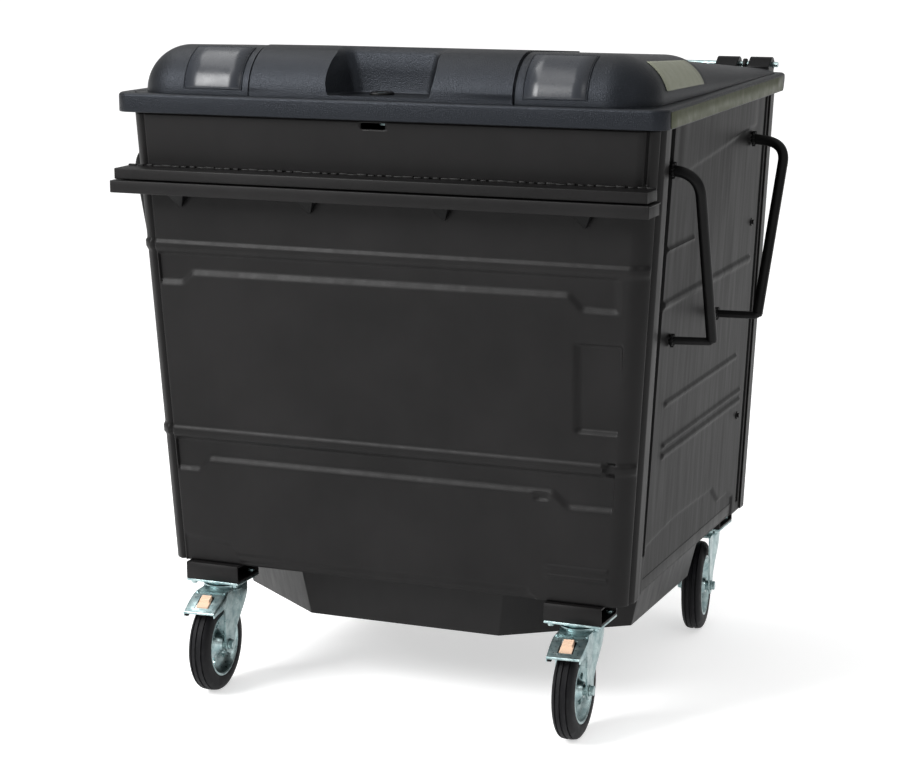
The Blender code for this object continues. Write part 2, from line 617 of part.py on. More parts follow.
def make_lid(root):
    """The moulded lid, hollow underneath, with its grip pocket, and what is fixed to it."""
    pivot = empty("lid_pivot", root, (0.0, HINGE_Y, HINGE_Z))
    to_pivot = (0.0, -HINGE_Y, -HINGE_Z)
    lid = add_mesh("lid_shell", plate_mesh(lid_outline(0.0, LID_REAR_Y), LID_BOTTOM, LID_TOP), LID_PLASTIC,
                   pivot, to_pivot)
    base = LID_TOP - 3 * MM
    cut(lid, dome_mesh(0.0, base), "UNION", "dome")
    cut(lid, slope_mesh(0.0, base), "UNION", "slope")
    cut(lid, dome_mesh(0.0, base, SADDLE_HALF, SADDLE_RISE, True), "UNION", "saddle")
    under = lid_outline(LID_SKIN, LID_REAR_Y + 30 * MM)
    cut(lid, plate_mesh(under, LID_BOTTOM - 20 * MM, LID_TOP - LID_SKIN), name="underside")
    hollow_base = LID_TOP - LID_SKIN - 4 * MM
    hollow = dome_mesh(LID_SKIN, hollow_base)
    grip_front = DOME_FRONT_Y - 30 * MM
    wide, deep = POCKET_HALF + LID_SKIN, POCKET_BACK_Y + LID_SKIN
    keep = box_mesh((0.0, (grip_front + deep) / 2, POCKET_FLOOR - LID_SKIN + POCKET_CUT / 2),
                    (2 * wide, deep - grip_front, POCKET_CUT))
    inner = bpy.data.objects.new("lid_hollow", hollow)
    inner.parent, inner.location = pivot, to_pivot
    inner.hide_render, inner.display_type = True, "WIRE"
    CUTTERS.objects.link(inner)
    cut(inner, keep, name="pocket_walls")
    cut(inner, slope_mesh(LID_SKIN, hollow_base), "UNION", "slope_hollow")
    step = lid.modifiers.new("hollow", "BOOLEAN")
    step.object = inner
    step.operation = "DIFFERENCE"
    cut(lid, box_mesh((0.0, (grip_front + POCKET_BACK_Y) / 2, POCKET_FLOOR + POCKET_CUT / 2),
                      (2 * POCKET_HALF, POCKET_BACK_Y - grip_front, POCKET_CUT)), name="pocket")
    skirt_end = [(LID_REAR_Y - 24 * MM, LID_BOTTOM - 5 * MM), (LID_REAR_Y + 40 * MM, LID_BOTTOM - 5 * MM),
                 (LID_REAR_Y + 40 * MM, LID_TOP - LID_SKIN), (LID_REAR_Y - 6 * MM, LID_TOP - LID_SKIN)]
    cut(lid, plate_mesh(skirt_end, -SKIRT_CUT_HALF, SKIRT_CUT_HALF, "YZ"), name="skirt_end")
    knuckle = arc_points(HINGE_Y, HINGE_Z, KNUCKLE_RADIUS, 180.0, -70.0, 10)
    knuckle += [(LID_REAR_Y - 2 * MM, LID_TOP - 3 * MM), (LID_REAR_Y - 20 * MM, LID_TOP - 3 * MM)]
    bore = (HINGE_Y, HINGE_Z, ROD_RADIUS + GAP)
    cut(lid, plate_mesh(knuckle, -KNUCKLE_HALF, KNUCKLE_HALF, "YZ", holes=(bore,)), "UNION", "knuckle")
    for side in (-1, 1):
        slot = box_mesh((side * BRACKET_X, LID_REAR_Y, LID_TOP), (20 * MM, 30 * MM, 30 * MM))
        cut(lid, slot, name="bracket_slot")
    cut(lid, rod_mesh((LOCK_X, LOCK_Y, POCKET_FLOOR - 20 * MM), (LOCK_X, LOCK_Y, POCKET_FLOOR + 5 * MM),
                      LOCK_RADIUS - 4 * MM, 20), name="lock_hole")
    make_panels(pivot, to_pivot)
    make_hoods(pivot, to_pivot)
    make_lock(pivot)


def make_panels(pivot, to_pivot):
    """Reflective sheets on the rounded front and ends of the dome."""
    low = LID_TOP
    radius = DOME_RADIUS + GAP
    front = DOME_FRONT_Y + DOME_RADIUS
    end = DOME_HALF - DOME_RADIUS
    for side, label in ((-1, "left"), (1, "right")):
        arc = arc_points(0.0, 0.0, radius, PANEL_ARC[0], PANEL_ARC[1], 8)
        rows = [[(side * x, front - u, low + v) for x in PANEL_X] for u, v in arc]
        panel = loft(f"front_panel_reflector_{label}", rows, PANEL_SHEET, REFLECTOR, pivot, offset=-side)
        panel.location = to_pivot
        arc = arc_points(0.0, 0.0, radius, SIDE_PANEL_ARC[0], SIDE_PANEL_ARC[1], 6)
        rows = [[(side * (end + u), y, low + v * dome_share(y)) for y in SIDE_PANEL_Y] for u, v in arc]
        panel = loft(f"side_reflector_{label}", rows, PANEL_SHEET, SIDE_REFLECTOR, pivot, offset=-side)
        panel.location = to_pivot


def make_hoods(pivot, to_pivot):
    """Hinge hoods on the lid's rear edge: each moulding has two, which straddle a bracket."""
    foot = LID_TOP + GAP
    outline = [(HOOD_FRONT_Y, foot), (HOOD_FRONT_Y, foot + 12 * MM)]
    outline += arc_points(HINGE_Y, HINGE_Z, HOOD_RADIUS, 140.0, -50.0, 9)
    outline += [(HINGE_Y + 9 * MM, HINGE_Z - 21 * MM), (LID_REAR_Y + GAP, HINGE_Z - 21 * MM),
                (LID_REAR_Y + GAP, foot)]
    hole = (HINGE_Y, HINGE_Z, ROD_RADIUS + GAP)
    flange_depth = 14 * MM
    for side, label in ((-1, "left"), (1, "right")):
        first, second = [plate_mesh(outline, *sorted((side * low, side * high)), "YZ", holes=(hole,))
                         for low, high in HOOD_SPANS]
        hood = add_mesh(f"hinge_hood_{label}", first, BLACK_PLASTIC, pivot, to_pivot)
        cut(hood, second, "UNION", "second_hood")
        inner, outer = HOOD_SPANS[0][0], HOOD_SPANS[1][1]
        flange_y = HOOD_FRONT_Y - 4 * MM + flange_depth / 2
        flange = box_mesh((side * (inner + outer) / 2, flange_y, foot + 3 * MM),
                          (outer - inner, flange_depth, 6 * MM))
        cut(hood, flange, "UNION", "flange")


def make_lock(pivot):
    """The lock barrel in the pocket floor, with the cam that it turns into the slot in the front wall."""
    turn = empty("lock_pivot", pivot, (LOCK_X, LOCK_Y - HINGE_Y, POCKET_FLOOR - HINGE_Z))
    shaft = LOCK_RADIUS - 4 * MM - GAP
    cam_low = LOCK_SLOT_Z - POCKET_FLOOR - CAM_SHEET / 2
    head = rod_mesh((0.0, 0.0, GAP), (0.0, 0.0, 3 * MM), LOCK_RADIUS, 20)
    barrel = add_mesh("lock_barrel", head, ZINC, turn)
    stem = rod_mesh((0.0, 0.0, cam_low + CAM_SHEET + GAP), (0.0, 0.0, 2 * MM), shaft, 20)
    cut(barrel, stem, "UNION", "stem")
    cut(barrel, rod_mesh((0.0, 0.0, 1 * MM), (0.0, 0.0, 6 * MM), 4 * MM, 3), name="key_socket")
    half = 7 * MM
    outline = arc_points(CAM_REACH - half, 0.0, half, -90.0, 90.0, 6)
    outline += arc_points(0.0, 0.0, half, 90.0, 270.0, 6)
    add_mesh("lock_cam", plate_mesh(outline, cam_low, cam_low + CAM_SHEET), ZINC, turn)


def make_castor(root, label, side, end, turn):
    """One castor below its mounting box."""
    x, y = side * CASTOR_X, end * CASTOR_Y
    width, depth, sheet = PLATE_SIZE
    height = TUB_BOTTOM - CASTOR_HEIGHT - GAP * 2
    mount = add_mesh(f"castor_mount_{label}", box_mesh((x, y, CASTOR_HEIGHT + GAP + height / 2),
                                                     (width, depth, height)), BLACK_PAINT, root)
    cut(mount, box_mesh((x, y, CASTOR_HEIGHT + GAP + height / 2),
                        (width + 20 * MM, depth - 2 * MOUNT_WALL, height - 2 * MOUNT_WALL)), name="inside")
    fixed = empty(f"castor_seat_{label}", root, (x, y, CASTOR_HEIGHT))
    plate = add_mesh(f"castor_plate_{label}", box_mesh((0.0, 0.0, -sheet / 2), PLATE_SIZE), ZINC, fixed)
    race = rod_mesh((0.0, 0.0, RACE_FOOT), (0.0, 0.0, -1 * MM), RACE_RADII[0], 24, RACE_RADII[1])
    cut(plate, race, "UNION", "race")
    swivel = empty(f"castor_swivel_{label}", root, (x, y, CASTOR_HEIGHT), math.radians(turn))
    make_fork(swivel, label)
    axle = empty(f"castor_axle_{label}", swivel, (0.0, -TRAIL, WHEEL_RADIUS - CASTOR_HEIGHT))
    make_wheel(axle, label)
    if end < 0:
        make_brake(swivel, label)


def make_fork(swivel, label):
    """The pressed fork that turns under the plate, and the bolt through its foot."""
    axle_z = WHEEL_RADIUS - CASTOR_HEIGHT
    outer = LEG_X + LEG_SHEET
    crown_top = RACE_FOOT - GAP
    head = rod_mesh((0.0, 0.0, CROWN_Z), (0.0, 0.0, crown_top), FORK_HEAD_RADIUS, 24)
    fork = add_mesh(f"castor_fork_{label}", head, ZINC, swivel)
    cut(fork, box_mesh((0.0, -22 * MM, CROWN_Z + 2 * MM), (2 * outer, 66 * MM, LEG_SHEET)), "UNION", "crown")
    leg = [(11 * MM, CROWN_Z + 4 * MM), (-55 * MM, CROWN_Z + 4 * MM), (-72 * MM, CROWN_Z - 14 * MM),
           (-72 * MM, CROWN_Z - 24 * MM)]
    leg += [(-TRAIL + u, axle_z + v) for u, v in arc_points(0.0, 0.0, 17 * MM, 200.0, 340.0, 6)]
    leg += [(11 * MM, CROWN_Z - 22 * MM)]
    for side in (-1, 1):
        span = sorted((side * LEG_X, side * outer))
        cut(fork, plate_mesh(leg, *span, "YZ"), "UNION", "leg")
    cut(fork, rod_mesh((-2 * outer, -TRAIL, axle_z), (2 * outer, -TRAIL, axle_z), AXLE_RADIUS + GAP, 16),
        name="axle_hole")


def make_wheel(axle, label):
    """The wheel on its axle: bolt, bearing sleeve, pressed rim and solid tyre."""
    outer = LEG_X + LEG_SHEET + GAP
    head, nut = outer + 7 * MM, outer + 8 * MM
    turned(f"axle_bolt_{label}", [(-head, 0.0), (-head, 10 * MM), (-outer, 10 * MM), (-outer, AXLE_RADIUS),
                                  (outer, AXLE_RADIUS), (outer, 10 * MM), (nut, 10 * MM), (nut, 0.0)], 12,
           ZINC, axle)
    sleeve_in, sleeve_out, reach = AXLE_RADIUS + GAP, 11 * MM, LEG_X - GAP
    turned(f"wheel_bearing_{label}", [(-reach, sleeve_in), (-reach, sleeve_out), (reach, sleeve_out),
                                      (reach, sleeve_in)], 16, ZINC, axle)
    bore, hub, web, band = sleeve_out + GAP, 19 * MM, 3 * MM, RIM_RADIUS - 4 * MM
    face, hub_face = TYRE_WIDTH / 2 - 3 * MM, LEG_X - 5 * MM
    half = [(-hub_face, bore), (-hub_face, hub), (-web, hub + 4 * MM), (-web, band - 3 * MM), (-face, band),
            (-face, RIM_RADIUS)]
    rim = half + [(-along, radius) for along, radius in reversed(half)]
    turned(f"wheel_rim_{label}", rim, WHEEL_SEGMENTS, ZINC, axle)
    wide = TYRE_WIDTH / 2
    tread = [(-face + 1 * MM, RIM_RADIUS + GAP), (-wide, RIM_RADIUS + 5 * MM), (-wide, WHEEL_RADIUS - 9 * MM),
             (-wide + 4 * MM, WHEEL_RADIUS - 2 * MM), (-wide + 9 * MM, WHEEL_RADIUS)]
    tread += [(-along, radius) for along, radius in reversed(tread)]
    turned(f"tyre_{label}", tread, WHEEL_SEGMENTS, TYRE_RUBBER, axle)


def make_brake(swivel, label):
    """The brake pedal of a front castor and its coloured tab."""
    pivot = empty(f"brake_pivot_{label}", swivel, (0.0, PEDAL_Y, PEDAL_Z))
    reach = LEG_X - GAP - 0.4 * MM
    pin = rod_mesh((-reach, 0.0, 0.0), (reach, 0.0, 0.0), 4 * MM, 12)
    pedal = add_mesh(f"brake_pedal_{label}", pin, ZINC, pivot)
    arm = [(0.0, 2 * MM), (-14 * MM, 2 * MM), (-58 * MM, -13 * MM), (-64 * MM, -24 * MM),
           (-61.5 * MM, -25 * MM), (-56 * MM, -15.5 * MM), (-13.5 * MM, -1 * MM), (0.0, -1 * MM)]
    cut(pedal, plate_mesh(arm, -PEDAL_HALF, PEDAL_HALF, "YZ"), "UNION", "arm")
    flare = [(-24 * MM, -1.6 * MM), (-58 * MM, -13 * MM), (-64 * MM, -24 * MM), (-61.5 * MM, -25 * MM),
             (-56 * MM, -15.5 * MM), (-23 * MM, -4.4 * MM)]
    cut(pedal, plate_mesh(flare, -FLARE_HALF, FLARE_HALF, "YZ"), "UNION", "flare")
    tab = [(-34 * MM, -4.6 * MM), (-36 * MM, 4 * MM), (-46 * MM, 2 * MM), (-60 * MM, -12.5 * MM),
           (-58 * MM, -12.5 * MM)]
    add_mesh(f"brake_tab_{label}", plate_mesh(tab, -TAB_HALF, TAB_HALF, "YZ"), ORANGE, pivot)


ROOT = empty("bin_origin", location=(0.0, FRAME_SHIFT_Y, 0.0))
make_tub(ROOT)
make_rail(ROOT)
make_handles(ROOT)
make_hinge_base(ROOT)
make_lid(ROOT)
for castor_label, castor_side, castor_end, castor_turn in CASTORS:
    make_castor(ROOT, castor_label, castor_side, castor_end, castor_turn)
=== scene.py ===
"""Looks of the four-wheeled refuse container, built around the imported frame.

Metres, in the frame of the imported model: +X right, -Y towards the lifting rail, +Z up. Helpers that
speak of the tub's own frame put Y = 0 midway between the front and rear castors.
"""

import json
import math

import bmesh
import bpy
from mathutils import Matrix, Vector


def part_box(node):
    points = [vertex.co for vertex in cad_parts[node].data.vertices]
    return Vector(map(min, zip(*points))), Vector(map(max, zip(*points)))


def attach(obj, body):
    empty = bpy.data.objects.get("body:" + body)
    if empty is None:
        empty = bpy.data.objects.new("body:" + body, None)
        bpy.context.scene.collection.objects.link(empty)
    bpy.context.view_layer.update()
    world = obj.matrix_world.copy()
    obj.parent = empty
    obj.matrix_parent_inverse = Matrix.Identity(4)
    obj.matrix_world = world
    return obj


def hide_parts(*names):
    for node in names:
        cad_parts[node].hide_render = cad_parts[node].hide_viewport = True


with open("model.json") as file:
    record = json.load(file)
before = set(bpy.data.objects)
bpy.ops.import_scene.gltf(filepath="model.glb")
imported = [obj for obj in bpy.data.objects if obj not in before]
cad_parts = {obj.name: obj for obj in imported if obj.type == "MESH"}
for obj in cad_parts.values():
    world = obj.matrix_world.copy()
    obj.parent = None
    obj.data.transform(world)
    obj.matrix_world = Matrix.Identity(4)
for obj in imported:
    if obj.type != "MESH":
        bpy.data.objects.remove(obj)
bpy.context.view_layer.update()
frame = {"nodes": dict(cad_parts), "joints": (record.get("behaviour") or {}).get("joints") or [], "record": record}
NODES = frame["nodes"]

MM = 0.001
ROD_LOW, ROD_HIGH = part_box("hinge_rod")
ROD_Y = 500.0 * MM                                    # the hinge rod in the tub's own frame
SHIFT = (ROD_LOW.y + ROD_HIGH.y) / 2 - ROD_Y          # from the tub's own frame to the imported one

# View: the camera, in the tub's own frame
LENS = 95.92
SENSOR = 36.0
CAMERA_PLACE = (2.01322, -4.79007, 1.67924)
CAMERA_YAW, CAMERA_PITCH, CAMERA_ROLL = 23.069, 11.703, -0.317

# Studio: each soft box's name, place, target, size and power, and the floor, which glows a little
LIGHTS = (("key_light", (-2.7, -3.9, 3.4), (-0.2, -0.2, 0.8), (2.4, 2.0), 285.0),
          ("side_light", (3.4, -2.4, 3.0), (0.3, 0.0, 0.9), (1.0, 1.2), 14.0),
          ("top_light", (-1.7, -1.0, 4.5), (0.0, -0.3, 1.2), (5.0, 1.5), 85.0))
FLOOR_SIZE, FLOOR_TONE, FLOOR_GLOW = 30.0, 0.72, 0.56


# ---------------------------------------------------------------- materials

class Nodes:
    """A material's node tree with short calls to add and link nodes."""

    def __init__(self, name):
        self.material = bpy.data.materials.new(name)
        self.material.use_nodes = True
        self.tree = self.material.node_tree
        self.shader = self.tree.nodes["Principled BSDF"]
        self.place = self.add("ShaderNodeTexCoord").outputs["Object"]

    def add(self, kind, **settings):
        """A node with some of its inputs or settings given."""
        node = self.tree.nodes.new(kind)
        for key, value in settings.items():
            if key in node.inputs:
                node.inputs[key].default_value = value
            else:
                setattr(node, key, value)
        return node

    def link(self, output, target):
        self.tree.links.new(output, target)

    def noise(self, scale, detail=3.0, stretch=(1.0, 1.0, 1.0), rough=0.5):
        """Noise in object space, stretched along the axes with the larger numbers."""
        mapping = self.add("ShaderNodeMapping")
        mapping.inputs["Scale"].default_value = tuple(1.0 / s for s in stretch)
        self.link(self.place, mapping.inputs["Vector"])
        made = self.add("ShaderNodeTexNoise", Scale=scale, Detail=detail, Roughness=rough)
        self.link(mapping.outputs["Vector"], made.inputs["Vector"])
        return made.outputs["Fac"]

    def ramp(self, value, stops):
        """A colour ramp with (place, colour or grey) stops."""
        made = self.add("ShaderNodeValToRGB")
        elements = made.color_ramp.elements
        while len(elements) < len(stops):
            elements.new(0.5)
        for element, (place, tone) in zip(elements, stops):
            element.position = place
            element.color = (tone, tone, tone, 1.0) if isinstance(tone, float) else (*tone, 1.0)
        self.link(value, made.inputs["Fac"])
        return made.outputs["Color"]

    def bump(self, heights):
        """Bumps in a chain from (height output, strength, distance)."""
        normal = None
        for value, strength, distance in heights:
            made = self.add("ShaderNodeBump", Strength=strength, Distance=distance)
            self.link(value, made.inputs["Height"])
            if normal is not None:
                self.link(normal, made.inputs["Normal"])
            normal = made.outputs["Normal"]
        self.link(normal, self.shader.inputs["Normal"])

    def mix(self, value, low, high):
        """Two colours mixed by a value."""
        made = self.add("ShaderNodeMix", data_type="RGBA")
        self.link(value, made.inputs["Factor"])
        for socket, colour in ((6, low), (7, high)):
            if isinstance(colour, tuple):
                made.inputs[socket].default_value = (*colour, 1.0)
            else:
                self.link(colour, made.inputs[socket])
        return made.outputs[2]

    def colour(self, output):
        self.link(output, self.shader.inputs["Base Color"])

    def roughness(self, output):
        self.link(output, self.shader.inputs["Roughness"])


def painted_steel(name, tone, shine=0.2):
    """Black paint on pressed steel, with faint upright streaks and a little orange peel."""
    made = Nodes(name)
    streak = made.noise(60.0, 5.0, (1.0, 1.0, 22.0), 0.6)
    cloud = made.noise(4.5, 4.0, rough=0.6)
    made.colour(made.mix(made.ramp(cloud, [(0.35, 0.0), (0.65, 1.0)]), tuple(c * 0.7 for c in tone),
                         tuple(c * 1.4 for c in tone)))
    made.roughness(made.ramp(streak, [(0.3, 0.4), (0.7, 0.5)]))
    made.bump([(made.noise(900.0, 2.0), 0.12, 0.0002), (made.noise(7.0, 2.0, (1.0, 1.0, 2.5)), 0.3, 0.0014),
               (streak, 0.05, 0.0004)])
    made.shader.inputs["Specular IOR Level"].default_value = shine
    return made.material


def moulded_plastic(name, tone, rough, pebble=0.5, shine=0.2, speckle=0.45, tint=(1.0, 1.0, 1.0)):
    """Pebbled moulded plastic."""
    made = Nodes(name)
    grain = made.noise(420.0, 2.0, rough=0.6)
    speck = made.ramp(grain, [(0.35, 0.0), (0.65, 1.0)])
    made.colour(made.mix(speck, tuple(c * (1.0 - speckle) for c in tone),
                         tuple(c * (1.0 + speckle) for c in tone)))
    made.roughness(made.ramp(grain, [(0.3, rough - 0.08), (0.7, rough + 0.1)]))
    made.bump([(grain, pebble, 0.001)])
    made.shader.inputs["Specular IOR Level"].default_value = shine
    made.shader.inputs["Specular Tint"].default_value = (*tint, 1.0)
    return made.material


def glossy_sheet(name, tone, rough, shine=0.35):
    """Smooth glossy reflective sheet with a very fine cell pattern."""
    made = Nodes(name)
    cells = made.add("ShaderNodeTexVoronoi", Scale=900.0)
    made.link(made.place, cells.inputs["Vector"])
    made.colour(made.mix(cells.outputs["Distance"], tone, tuple(c * 1.35 for c in tone)))
    made.roughness(made.ramp(made.noise(40.0), [(0.3, rough * 0.85), (0.7, rough * 1.2)]))
    made.shader.inputs["Specular IOR Level"].default_value = shine
    return made.material


def zinc_plate(name):
    """Bright zinc plating with its blue-green tint and a little spangle."""
    made = Nodes(name)
    patch = made.noise(55.0, 3.0)
    spangle = made.ramp(patch, [(0.35, 0.0), (0.65, 1.0)])
    made.colour(made.mix(spangle, (0.22, 0.31, 0.32), (0.42, 0.52, 0.52)))
    made.roughness(made.ramp(made.noise(160.0, 4.0), [(0.3, 0.24), (0.7, 0.42)]))
    made.bump([(made.noise(480.0, 2.0), 0.12, 0.0002)])
    made.shader.inputs["Metallic"].default_value = 1.0
    return made.material


def rubber(name):
    """Black solid rubber, dulled a little."""
    made = Nodes(name)
    dust = made.noise(70.0, 5.0)
    dusty = made.ramp(dust, [(0.45, 0.0), (0.8, 1.0)])
    made.colour(made.mix(dusty, (0.004, 0.004, 0.005), (0.014, 0.014, 0.015)))
    made.roughness(made.ramp(dust, [(0.3, 0.5), (0.7, 0.72)]))
    made.bump([(made.noise(700.0, 2.0), 0.25, 0.0003)])
    made.shader.inputs["Specular IOR Level"].default_value = 0.15
    return made.material


PAINT = painted_steel("black_paint_look", (0.0042, 0.0039, 0.0040), 0.16)
# A copy of the black paint with less shine for the side sheets, so their grazing reflection reads darker: painted
# shade.
SHADED_SIDE_PAINT = painted_steel("side_paint_painted_shade_look", (0.0042, 0.0040, 0.0041), 0.075)
LID = moulded_plastic("lid_plastic_look", (0.0016, 0.0021, 0.0030), 0.38, 0.9, 0.26, tint=(0.8, 0.87, 1.0))
HOOD = moulded_plastic("black_plastic_look", (0.003, 0.003, 0.0033), 0.35, 0.15, 0.12)
SHEET = glossy_sheet("reflective_sheet_look", (0.014, 0.016, 0.020), 0.27)
OLIVE = glossy_sheet("side_reflective_sheet_look", (0.055, 0.059, 0.038), 0.55, 0.2)
# A lighter copy of the side reflective sheet for the dome's upward-facing side panels, toned for how light falls
# on them: painted light.
PAINTED_LIGHT_PANEL = glossy_sheet("dome_side_sheet_painted_light_look", (0.165, 0.171, 0.132), 0.5, 0.25)
ZINC = zinc_plate("zinc_look")
RUBBER = rubber("tyre_rubber_look")
# A darker copy of the black paint for the handle tubes, their welds and the gusset brackets, which read darker
# than the wall: painted shade.
SHADED_PAINT = painted_steel("black_paint_painted_shade_look", (0.0022, 0.0022, 0.0023), 0.12)
ORANGE = moulded_plastic("orange_plastic_look", (0.64, 0.45, 0.32), 0.4, 0.1, 0.4, 0.05)
LOOKS = {"black_paint": PAINT, "lid_plastic": LID, "black_plastic": HOOD, "reflective_sheet": SHEET,
         "side_reflective_sheet": OLIVE, "zinc": ZINC, "tyre_rubber": RUBBER, "orange_plastic": ORANGE}


def soften(thing, width, segments=2, angle=40.0):
    """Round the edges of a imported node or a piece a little."""
    weld = thing.modifiers.new("weld", "WELD")
    weld.merge_threshold = 0.00002
    edge = thing.modifiers.new("soft_edges", "BEVEL")
    edge.width = width
    edge.segments = segments
    edge.limit_method = "ANGLE"
    edge.angle_limit = math.radians(angle)
    edge.harden_normals = False


def dress_nodes():
    """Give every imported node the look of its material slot."""
    for part in frame["record"]["subparts"]:
        mesh = NODES[part["node"]].data
        mesh.materials.clear()
        mesh.materials.append(LOOKS[part["material_slot"]])
        mesh.shade_smooth()
        mesh.set_sharp_from_angle(angle=math.radians(35.0))
    for name in ("rail_upper", "rail_lower", "hinge_bracket_left", "hinge_bracket_right"):
        soften(NODES[name], 1.2 * MM)
    soften(NODES["floor_pan"], 5.0 * MM, 3, 15.0)
    for name in NODES:
        if name.startswith(("castor_mount", "castor_plate", "rail_gusset")):
            soften(NODES[name], 1.0 * MM)


# ---------------------------------------------------------------- shapes

TUB_FRAME = Matrix.Translation((0.0, SHIFT, 0.0))
CUT, ADD = "DIFFERENCE", "UNION"           # Boolean steps


def mm(*points):
    """Points given in millimetres, in metres."""
    return [tuple(value * MM for value in point) for point in points]


def show(thing):
    """Put an object in the scene."""
    bpy.context.scene.collection.objects.link(thing)


def baked(holder):
    """The mesh that an object's modifiers or curve give. The object goes."""
    bpy.context.view_layer.update()
    mesh = bpy.data.meshes.new_from_object(holder.evaluated_get(bpy.context.evaluated_depsgraph_get()))
    bpy.data.objects.remove(holder)
    return mesh


def mesh_of(bm):
    """A bmesh turned into a mesh with its faces pointing out."""
    bmesh.ops.recalc_face_normals(bm, faces=bm.faces)
    mesh = bpy.data.meshes.new("shape")
    bm.to_mesh(mesh)
    bm.free()
    return mesh


def piece(name, mesh, slot, body, replaces=(), matrix=TUB_FRAME, sharp=35.0, look=None):
    """A mesh as a piece that rides on a body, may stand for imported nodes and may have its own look."""
    made = bpy.data.objects.new(name, mesh)
    made.matrix_world = matrix
    mesh.materials.append(look or LOOKS[slot])
    mesh.shade_smooth()
    mesh.set_sharp_from_angle(angle=math.radians(sharp))
    show(made)
    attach(made, body)
    if replaces:
        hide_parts(*replaces)
    return made


def arc(u, v, radius, start, end, steps):
    """Points on an arc, angles in degrees."""
    turns = [math.radians(start + (end - start) * i / steps) for i in range(steps + 1)]
    return [(u + radius * math.cos(a), v + radius * math.sin(a)) for a in turns]


def rows_mesh(rows, solid=False):
    """A sheet through rows of points, or a solid through rows that close on themselves."""
    bm = bmesh.new()
    grid = [[bm.verts.new(point) for point in row] for row in rows]
    for before, after in zip(grid, grid[1:]):
        count = len(before)
        for i in range(count if solid else count - 1):
            j = (i + 1) % count
            bm.faces.new((before[i], before[j], after[j], after[i]))
    if solid:
        bm.faces.new(grid[0])
        bm.faces.new(grid[-1])
    return mesh_of(bm)


def prism(outline, low, high, axis="X"):
    """A closed outline extruded along an axis. For X the outline is (y, z), for Y (x, z), for Z (x, y)."""
    def spot(u, v, w):
        return {"X": (w, u, v), "Y": (u, w, v), "Z": (u, v, w)}[axis]

    return rows_mesh([[spot(u, v, w) for u, v in outline] for w in (low, high)], solid=True)


def bevel(bm, edges, width, segments):
    """Round some edges of a bmesh."""
    bmesh.ops.bevel(bm, geom=edges, offset=width, segments=segments, profile=0.5, affect="EDGES",
                    clamp_overlap=True)


def block(centre, size, rounding=0.0, segments=3):
    """A box with rounded edges."""
    bm = bmesh.new()
    bmesh.ops.create_cube(bm, size=1.0, matrix=Matrix.Translation(centre) @ Matrix.Diagonal((*size, 1.0)))
    if rounding:
        bevel(bm, bm.edges[:], rounding, segments)
    return mesh_of(bm)


def rod(start, end, radius, segments=24):
    """A round bar."""
    start, end = Vector(start), Vector(end)
    along = end - start
    turn = along.to_track_quat("Z", "Y").to_matrix().to_4x4()
    bm = bmesh.new()
    bmesh.ops.create_cone(bm, cap_ends=True, segments=segments, radius1=radius, radius2=radius,
                          depth=along.length, matrix=Matrix.Translation((start + end) / 2) @ turn)
    return mesh_of(bm)


def lathe(profile, segments, axis="X"):
    """A closed profile of (along, radius) turned about an axis."""
    bm = bmesh.new()
    loops = []
    for i in range(segments):
        a = 2 * math.pi * i / segments
        c, s = math.cos(a), math.sin(a)
        loops.append([bm.verts.new((along, radius * c, radius * s) if axis == "X" else
                                   (radius * c, radius * s, along)) for along, radius in profile])
    count = len(profile)
    for i in range(segments):
        one, two = loops[i], loops[(i + 1) % segments]
        for k in range(count):
            m = (k + 1) % count
            bm.faces.new((one[k], one[m], two[m], two[k]))
    bmesh.ops.remove_doubles(bm, verts=bm.verts, dist=0.000001)
    return mesh_of(bm)


def joined(*meshes):
    """Several meshes as one."""
    bm = bmesh.new()
    for mesh in meshes:
        bm.from_mesh(mesh)
        bpy.data.meshes.remove(mesh)
    return mesh_of(bm)


def carved(base, steps):
    """A mesh after Boolean steps of (operation, mesh)."""
    main = bpy.data.objects.new("carved", base)
    show(main)
    tools = []
    for operation, mesh in steps:
        tool = bpy.data.objects.new("tool", mesh)
        show(tool)
        tools.append(tool)
        step = main.modifiers.new("step", "BOOLEAN")
        step.operation = operation
        step.object = tool
        step.solver = "EXACT"
    result = baked(main)
    for tool in tools:
        bpy.data.objects.remove(tool)
    return result


def tube(name, route, radius, slot, body, replaces=(), resolution=6, radii=None, look=None):
    """A round tube along a route in the tub's own frame, thinner where its radii say so."""
    curve = bpy.data.curves.new(name, "CURVE")
    curve.dimensions = "3D"
    curve.bevel_depth = radius
    curve.bevel_resolution = resolution
    curve.use_fill_caps = True
    spline = curve.splines.new("POLY")
    spline.points.add(len(route) - 1)
    for point, place in zip(spline.points, route):
        point.co = (*place, 1.0)
    for point, local in zip(spline.points, radii or ()):
        point.radius = local / radius
    holder = bpy.data.objects.new(name + "_route", curve)
    show(holder)
    return piece(name, baked(holder), slot, body, replaces, look=look)


def rounded_route(points, radius, steps):
    """A route through the points with its inner corners rounded."""
    route = [Vector(points[0])]
    for before, corner, after in zip(points, points[1:], points[2:]):
        before, corner, after = Vector(before), Vector(corner), Vector(after)
        into, out = (before - corner).normalized(), (after - corner).normalized()
        for i in range(steps + 1):
            t = i / steps
            start, end = corner + into * radius, corner + out * radius
            route.append(start * (1 - t) ** 2 + corner * 2 * t * (1 - t) + end * t * t)
    route.append(Vector(points[-1]))
    return route


# ---------------------------------------------------------------- tub walls

